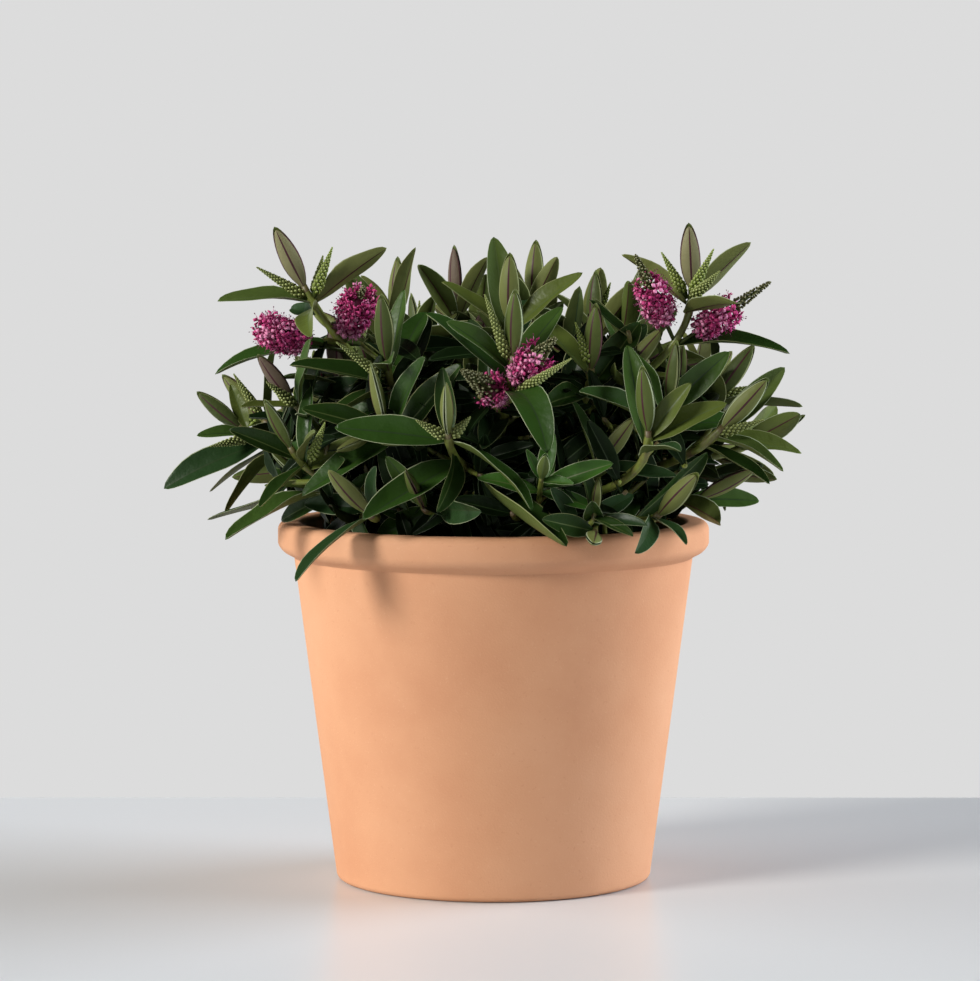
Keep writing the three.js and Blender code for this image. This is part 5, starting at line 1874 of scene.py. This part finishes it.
@dataclass
class Filling:
    """The finer growth of a crown, where there is room for it."""

    crown: Crown
    room: Room
    chance: Chance
    dome: float = 0.98
    inner_dome: float = 0.88
    front_dome: float = 0.8
    skirt_shoots: int = 72

    # How often an organ is tried, and how far each trial turns and shortens it.
    TRIALS = 4
    ASIDE, UPWARD = 0.45, 0.4
    SHORTER, NARROWER = 0.1, 0.07
    # Where finer twigs stand below a bud's foot, in millimetres, and the least share of a twig below them.
    LEVELS = (34, 60, 88, 116, 144)
    LEVEL_STRAY, LEAST = 8, 0.06
    TURN_BY_LEVEL, TURN_STRAY = 3.3, 30
    SIZES, KEEPING, REACHES, PAIRS = (0.62, 0.86), (0.3, 0.8), (18, 34), (2, 2, 3)
    # How far out and how high the tips of the low twigs stand, and how these grow.
    SKIRT_REACHES, SKIRT_HEIGHTS, SKIRT_PAIRS = (52, 104), (198, 230), (3, 4)
    SKIRT_STRAY, SKIRT_ROOT, SKIRT_RISE, SKIRT_SIZE = 4, 0.75, 18, 0.86
    # The height below which a leaf gets near-black colours as painted shade, and the height over which a
    # bud or spike may grow.
    SHADE, BARE = 300, 270
    THIN_ROOT, THIN_TIP = 0.75, 0.7

    def fit(self, organ: Organ, bough: str, dome: float) -> bool:
        """Adds an organ where there is room for it, also turned or shortened a little.

        Args:
            organ: The organ.
            bough: The bough that carries it.
            dome: The share of the crown's dome that it stays inside.

        Returns:
            True where it was added.
        """
        if isinstance(organ, Bloom):
            return False
        for trial in range(self.TRIALS):
            tried = organ
            if trial:
                turn = [self.chance.about(most) for most in (self.ASIDE, self.ASIDE, self.UPWARD)]
                way = unit(organ.way + np.array(turn))
                tried = replace(organ, way=way, length=organ.length * (1 - self.SHORTER * trial))
                if isinstance(organ, Leaf):
                    tried.width = organ.width * (1 - self.NARROWER * trial)
                if isinstance(organ, (Leaf, Bud)):
                    tried.up = squared(organ.up, way)
            if self.room.take(tried, dome):
                self.crown.organs.append((tried, bough))
                return True
        return False

    def grow_twigs(self, shoots: list[tuple[Shoot, Mass]]) -> None:
        """Carries the growth of shoots to finer twigs within the same reach."""
        chance = self.chance
        for below in self.LEVELS:
            for shoot, mass in shoots:
                away = self.crown.bud_stalk + below + chance.about(self.LEVEL_STRAY)
                share = 1 - away / shoot.curve.length
                if share < self.LEAST:
                    continue
                for opposite in (0, 180):
                    stray = chance.about(self.TURN_STRAY)
                    turn = shoot.turn + below * self.TURN_BY_LEVEL + opposite + stray
                    size = chance.between(*self.SIZES)
                    side = self.crown.shoot_from(shoot, share, turn, chance.between(*self.KEEPING), size,
                                                 chance.between(*self.REACHES), chance.pick(self.PAIRS))
                    self._try_shoot(side, mass.bough)

    def grow_skirt(self) -> None:
        """Grows low twigs from the boughs' feet towards the rim."""
        chance = self.chance
        boughs = self.crown.boughs
        for i in range(self.skirt_shoots):
            azimuth = math.radians(360 * i / self.skirt_shoots + chance.about(self.SKIRT_STRAY))
            reach = chance.between(*self.SKIRT_REACHES)
            point = np.array(about_pot(azimuth, reach, chance.between(*self.SKIRT_HEIGHTS)))
            name = min(boughs, key=lambda bough: float(norm(boughs[bough].point(1.0) - point)))
            root = boughs[name].point(self.SKIRT_ROOT)
            way = unit(point - root + UP * self.SKIRT_RISE)
            side = Shoot(tuple(point), turn=chance.between(0, 90), size=self.SKIRT_SIZE,
                         pairs=chance.pick(self.SKIRT_PAIRS), way=way)
            side.curve = self.crown.twig_curve(root, boughs[name].end_way(), side)
            self._try_shoot(side, name)

    def _try_shoot(self, side: Shoot, bough: str) -> None:
        """Adds a small shoot to a bough, with as many of its organs as find room."""
        placed: list[Organ] = []
        for organ in self.crown.organs_of(side, self.chance):
            tip = organ.tip()
            if isinstance(organ, Leaf):
                organ.pattern = PLAIN_LEAF
                # A leaf low inside the crown gets near-black colours as painted shade.
                organ.age = Age.DEEP if tip[2] < self.SHADE else Age.OLD
            elif tip[2] < self.BARE or tip[1] < 0:
                continue
            if self.fit(organ, bough, self.inner_dome if tip[1] > 0 else self.front_dome):
                placed.append(organ)
        if placed:
            belows = [pair.below for pair in PAIRS[:2]]
            self.crown.add_twig(side, belows, placed, (self.THIN_ROOT, self.THIN_TIP))


# ---------------- trunk and boughs


@dataclass
class Limbs:
    """The trunk and the boughs, with the relief of their bark."""

    crown: Crown
    flare_radius: float = 13.5
    flare_height: float = 3.0
    neck_radius: float = 8.6
    neck_height: float = 8.0
    tip_radius: float = 6.4
    trunk_sides: int = 64
    trunk_rings: int = 56
    trunk_relief: float = 0.16
    bough_sides: int = 20
    bough_relief: float = 0.08
    knot_height: float = 0.1
    knot_at: float = 0.55
    knots_per_length: float = 16

    BOUGH_SHARES = np.linspace(0.04, 1, 40)

    def build(self) -> None:
        """Makes the trunk and the boughs."""
        trunk = Draft("trunk_bark", "bark")
        self._trunk(trunk)
        trunk.piece("trunk")
        boughs = Draft("bough_bark", "green_bark")
        for name, curve in self.crown.boughs.items():
            self._bough(boughs, curve, len(name))
        boughs.piece(*[f"bough_{name}" for name in self.crown.boughs])

    def _relief(self, angle: Point, height: Point, seed: float, strength: float) -> Point:
        """How far the bark stands out at places about and along a limb.

        Args:
            angle: Angles about the limb.
            height: Heights along it, in millimetres.
            seed: Which limb it is.
            strength: The height of its ridges, as a share of the radius.

        Returns:
            The factor on the radius.
        """
        wander = 0.7 * np.sin(height * 0.21 + seed) + 0.4 * np.sin(height * 0.53 + 2 * seed)
        ridges = np.abs(np.sin(3.5 * angle + wander + seed)) ** 0.6
        fine = 0.35 * np.sin(11 * angle + 1.7 * wander + height * 0.9) * np.sin(height * 1.3 + seed)
        return 1 - strength * (1 - ridges) + strength * 0.3 * fine

    def _trunk(self, draft: Draft) -> None:
        """Adds the trunk, with its flared foot, to a piece."""
        crown = self.crown
        height = crown.trunk_height
        levels = np.linspace(0, height, self.trunk_rings)
        marks = [0, self.flare_height, self.neck_height, height - self.flare_height, height]
        widths = [self.flare_radius, (self.flare_radius + self.neck_radius) / 2, self.neck_radius,
                  self.tip_radius, self.tip_radius / 2]
        radii = np.interp(levels, marks, widths)
        angles = np.linspace(0, 2 * math.pi, self.trunk_sides, endpoint=False)
        relief = self._relief(angles[None], levels[:, None], 1.3, self.trunk_relief)
        spine = np.stack([crown.trunk_lean * levels / height, 0 * levels,
                          crown.soil_level + crown.clearance + levels], 1)
        tube(draft, spine, radii[:, None] * relief, self.trunk_sides, [TRUNK_BARK])

    def _bough(self, draft: Draft, curve: Sweep, seed: int) -> None:
        """Adds a bough to a piece, along its curve, with the bark that its seed gives."""
        crown = self.crown
        shares = self.BOUGH_SHARES
        radii = crown.bough_root + (crown.bough_tip - crown.bough_root) * shares
        angles = np.linspace(0, 2 * math.pi, self.bough_sides, endpoint=False)
        heights = (shares * curve.length)[:, None]
        relief = self._relief(angles[None], heights, seed * 1.7, self.bough_relief)
        knots = 1 + self.knot_height * np.exp(-(((shares - self.knot_at) * self.knots_per_length) ** 2))
        tube(draft, curve.points(shares), (radii * knots)[:, None] * relief, self.bough_sides, [BOUGH_BARK])


# ---------------- pot and potting mix


@dataclass
class Pot:
    """The terracotta pot, drawn up ring by ring from its foot, over its rolled lip and down inside."""

    height: float = 200.0
    rim_radius: float = 120.0
    mouth_radius: float = 105.0
    neck_radius: float = 111.0
    base_radius: float = 88.0
    lip_height: float = 18.5
    lip_round: float = 4.6
    foot_round: float = 3.5
    wall: float = 8.0
    floor: float = 12.0
    sides: int = 144

    # The curve under the lip: how far each of its rings stands out from the neck and over the lip's foot.
    COVE = ((0.0, -1.5), (0.9, -0.7), (3.6, 0.7), (5.6, 1.8), (7.2, 3.3), (8.4, 5.0), (9.0, 6.7))
    SIDE_STEPS, FOOT_STEPS, LIP_STEPS = 14, 6, 8
    # How much narrower the mouth is at the lip's foot, and the angle over which an edge stays sharp.
    MOUTH_TAPER = 1.2
    SHARP = 40

    def profile(self) -> list[tuple[float, float]]:
        """The rings' radii and heights, from the middle of the underside to the middle of the floor."""
        foot = self.height - self.lip_height
        rings = [(self.base_radius * share, 0.0) for share in (0.3, 0.7)]
        low = self.foot_round
        rings += self._arc(self.base_radius - low, low, low, -90, self.FOOT_STEPS)
        rise = foot + self.COVE[0][1] - low
        rings += [(self.base_radius + (self.neck_radius - self.base_radius) * t, low + rise * t)
                  for t in np.linspace(0, 1, self.SIDE_STEPS)[1:-1]]
        rings += [(self.neck_radius + out, foot + up) for out, up in self.COVE]
        top = self.height - self.lip_round
        rings += self._arc(self.rim_radius - self.lip_round, top, self.lip_round, 0, self.LIP_STEPS)
        rings += self._arc(self.mouth_radius + self.lip_round, top, self.lip_round, 90, self.LIP_STEPS)
        rings += [(self.mouth_radius - self.MOUTH_TAPER, foot), (self.base_radius - self.wall, self.floor)]
        rings += [((self.base_radius - self.wall) * 0.5, self.floor)]
        return rings

    @staticmethod
    def _arc(across: float, up: float, radius: float, start: float,
             steps: int) -> list[tuple[float, float]]:
        """Points on a quarter of a circle, as radii and heights."""
        angles = [math.radians(start + 90 * i / steps) for i in range(steps + 1)]
        return [(across + radius * math.cos(a), up + radius * math.sin(a)) for a in angles]

    def build(self) -> None:
        """Turns the pot and gives it its clay."""
        rings = self.profile()
        bpy.ops.object.select_all(action="DESELECT")
        bpy.ops.mesh.primitive_circle_add(vertices=self.sides, radius=rings[0][0] * MM, fill_type="TRIFAN",
                                          location=(0, 0, rings[0][1] * MM))
        pot = bpy.context.object
        pot.name = pot.data.name = "terracotta_pot"
        bpy.ops.object.mode_set(mode="EDIT")
        bpy.ops.mesh.select_mode(type="EDGE")
        bpy.ops.mesh.select_all(action="SELECT")
        bpy.ops.mesh.region_to_loop()
        for (before, level), (radius, height) in zip(rings, rings[1:]):
            bpy.ops.mesh.extrude_edges_move(TRANSFORM_OT_translate={"value": (0, 0, (height - level) * MM)})
            share = radius / before
            bpy.ops.transform.resize(value=(share, share, 1), center_override=(0, 0, height * MM))
        bpy.ops.mesh.edge_face_add()
        bpy.ops.mesh.poke()
        bpy.ops.mesh.select_all(action="SELECT")
        bpy.ops.mesh.normals_make_consistent(inside=False)
        bpy.ops.object.mode_set(mode="OBJECT")
        bpy.ops.object.transform_apply(location=True, rotation=True, scale=True)
        bpy.ops.object.shade_smooth_by_angle(angle=math.radians(self.SHARP))
        pot.data.materials.append(CLAY.material())
        settle(pot, "terracotta", "pot")


@dataclass
class PottingSoil:
    """The potting mix: a crumbling top with lumps of fibre on it, and its sides inside the pot."""

    level: float = 178.0
    low: float = 12.3
    low_radius: float = 79.4
    top_radius: float = 101.6
    rings: int = 34
    sides: int = 120
    lumps: int = 1500
    sunk: float = 2.2
    lump_size: float = 0.7
    lump_growth: float = 2.2
    fibres: float = 0.22

    SEED = 77
    # How far lumps keep from the edge, and how high each stands for its size.
    EDGE, RAISED, SLANT = 3, 0.3, 0.4
    LUMP_WIDTHS, LUMP_LENGTHS = (0.6, 1), (0.8, 1.6)

    def _height(self, x: Point, y: Point) -> Point:
        """How high the mix stands at places on its top."""
        broad = np.sin(x / 9 + 2) * np.cos(y / 9 + x / 18)
        fine = np.sin(x * 0.71 + y * 0.33) * np.cos(y * 0.83 - x * 0.27)
        crumb = np.sin(x * 1.9 + 1.1 * np.sin(y * 1.3)) * np.sin(y * 2.1 + 1.3 * np.sin(x * 1.1))
        return self.level - self.sunk + 1.1 * broad + 0.5 * fine + 0.45 * crumb

    def build(self) -> None:
        """Makes the mix and its lumps."""
        body = Draft("potting_soil", "potting_mix")
        radii = self.top_radius * np.linspace(0, 1, self.rings + 1)[1:]
        angles = np.linspace(0, 2 * math.pi, self.sides, endpoint=False)
        x = (radii[:, None] * np.cos(angles)).ravel()
        y = (radii[:, None] * np.sin(angles)).ravel()
        top = np.stack([x, y, self._height(x, y)], 1)
        low = np.stack([self.low_radius * np.cos(angles), self.low_radius * np.sin(angles),
                        np.full(self.sides, self.low)], 1)
        middle = np.array([[0, 0, float(self._height(np.zeros(1), np.zeros(1))[0])], [0, 0, self.low]])
        points = np.concatenate([top, low, middle])
        centre, foot = len(points) - 2, len(points) - 1
        faces = []
        for j in range(self.sides):
            k = (j + 1) % self.sides
            starts = [i * self.sides for i in range(self.rings + 1)]
            faces.append([centre, j, k])
            faces.extend([a + j, b + j, b + k, a + k] for a, b in zip(starts, starts[1:]))
            faces.append([foot, starts[-1] + k, starts[-1] + j])
        body.add(points, faces, MIX)
        body.piece("potting_mix")
        self._lumps()

    def _lumps(self) -> None:
        """Strews lumps and fibres over the top."""
        chance = Chance(self.SEED)
        strewn = Draft("potting_lumps", "potting_mix")
        for _ in range(self.lumps):
            reach = (self.top_radius - self.EDGE) * math.sqrt(chance.next())
            angle = chance.between(0, 2 * math.pi)
            x, y = reach * math.cos(angle), reach * math.sin(angle)
            size = self.lump_size + self.lump_growth * chance.next() ** 3
            z = float(self._height(np.array([x]), np.array([y]))[0]) + self.RAISED * size
            way = unit(np.array([chance.about(1), chance.about(1), chance.about(self.SLANT)]) + 1e-3)
            finish = MIX_FIBRE if chance.next() < self.fibres else MIX
            width, length = chance.between(*self.LUMP_WIDTHS), chance.between(*self.LUMP_LENGTHS)
            bead(strewn, np.array([x, y, z]), way, size * width, size * length, finish)
        strewn.piece()


# ---------------- table, light and camera


@dataclass(frozen=True)
class Sun:
    """A soft light that comes from far off and lights the whole table evenly.

    The spread is how wide it looks, in degrees, and the strength is in watts for each square metre.
    """

    name: str
    source: Place
    spread: float
    strength: float
    colour: Colour
    glints: bool = False

    def build(self) -> None:
        """Sets the light."""
        data = bpy.data.lights.new(self.name, "SUN")
        data.angle = math.radians(self.spread)
        data.energy, data.color = self.strength, self.colour
        light = placed(data)
        light.location = self.source
        light.rotation_euler = Vector(self.source).to_track_quat("Z", "Y").to_euler()
        light.visible_glossy = self.glints


@dataclass
class Studio:
    """The pale table, the lights, the backdrop and the camera."""

    camera_place: Place = (-0.00194, -2.167, 0.379)
    pitch: float = 4.289
    lens: float = 143.27
    table_size: Place = (5.0, 3.2, 0.04)
    table_back: float = 0.2866
    table_gap: float = 0.0002
    table_edge: float = 0.002
    backdrop: Colour = (0.716, 0.716, 0.716)
    ambient: float = 0.035
    sheen: float = 1.1
    horizon: tuple[float, float] = (0.14, 0.34)

    LIGHTS = (
        Sun("light_key", (-1.14, -0.8, 0.66), 19, 3.2, (1.0, 0.98, 0.93), glints=True),
        Sun("light_left", (-1.38, 0.24, 0.45), 52, 2.1, (0.97, 0.99, 1.0)),
        Sun("light_right", (1.38, 0.28, 0.37), 56, 6.0, (0.88, 0.95, 1.06)),
    )

    def build(self) -> None:
        """Sets up the table, the lights and the camera."""
        self._table()
        self._backdrop()
        for light in self.LIGHTS:
            light.build()
        self._camera()
        bpy.context.scene.view_settings.view_transform = "Standard"

    def _table(self) -> None:
        """Lays the table's top, whose far edge stands behind the pot."""
        _, depth, thick = self.table_size
        bpy.ops.object.select_all(action="DESELECT")
        bpy.ops.mesh.primitive_cube_add(size=1, location=(0, 0, 0))
        table = bpy.context.object
        table.name = table.data.name = "table"
        bpy.ops.object.mode_set(mode="EDIT")
        bpy.ops.mesh.select_all(action="SELECT")
        bpy.ops.transform.resize(value=self.table_size, center_override=(0, 0, 0))
        bpy.ops.transform.translate(value=(0, self.table_back - depth / 2, -thick / 2 - self.table_gap))
        bpy.ops.mesh.bevel(offset=self.table_edge, segments=3)
        bpy.ops.object.mode_set(mode="OBJECT")
        table.data.materials.append(TABLE_TOP.material())
        table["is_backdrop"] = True

    def _backdrop(self) -> None:
        """Sets the surroundings: pale to the camera, soft on the plant, with a pale band in reflections."""
        world = bpy.data.worlds.new("backdrop")
        bpy.context.scene.world = world
        board = Nodes(world)
        colour = (*self.backdrop, 1.0)
        seen = board.nodes["Background"]
        seen.inputs["Color"].default_value = colour
        rays = board.add("ShaderNodeLightPath").outputs
        ways = board.add("ShaderNodeTexCoord").outputs["Generated"]
        parts = board.add("ShaderNodeSeparateXYZ")
        board.join(ways, parts, 0)
        low, high = self.horizon
        band = board.add("ShaderNodeMapRange", From_Min=low, From_Max=high, To_Min=self.sheen, To_Max=0.0)
        board.join(parts.outputs["Z"], band, "Value")
        glint = board.add("ShaderNodeMath", operation="MULTIPLY")
        board.join(rays["Is Glossy Ray"], glint, 0)
        board.join(band.outputs["Result"], glint, 1)
        sheen = board.add("ShaderNodeMath", operation="MAXIMUM")
        board.join(glint.outputs[0], sheen, 0)
        sheen.inputs[1].default_value = self.ambient
        soft = board.add("ShaderNodeBackground", Color=colour)
        board.join(sheen.outputs[0], soft, "Strength")
        mix = board.add("ShaderNodeMixShader")
        board.join(rays["Is Camera Ray"], mix, 0)
        board.join(soft.outputs["Background"], mix, 1)
        board.join(seen.outputs["Background"], mix, 2)
        board.join(mix.outputs["Shader"], board.nodes["World Output"], "Surface")

    def _camera(self) -> None:
        """Sets the camera."""
        data = bpy.data.cameras.new("camera")
        data.sensor_fit, data.sensor_width, data.lens = "HORIZONTAL", 36.0, self.lens
        data.clip_end = 50.0
        camera = placed(data)
        camera.location = self.camera_place
        camera.rotation_euler = (math.radians(90 - self.pitch), 0, 0)
        bpy.context.scene.camera = camera


def write_sizes() -> None:
    """Logs the solids' box and the finished part's box, as lists of numbers."""
    boxes = {"cad": SOLIDS_BOX, "visual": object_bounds()}
    sizes = {name: [list(corner) for corner in box] for name, box in boxes.items()}
    log.info("box of the solids %s, of the pieces %s", sizes["cad"], sizes["visual"])


def main() -> None:
    """Builds the pot, the potting mix, the plant and the studio in order."""
    logging.basicConfig(level=logging.INFO, format="%(name)s: %(message)s")
    crown = Crown()
    crown.plan()
    crown.grow()
    Pot().build()
    PottingSoil().build()
    Limbs(crown).build()
    crown.build()
    Studio().build()
    write_sizes()


if __name__ == "__main__":
    main()
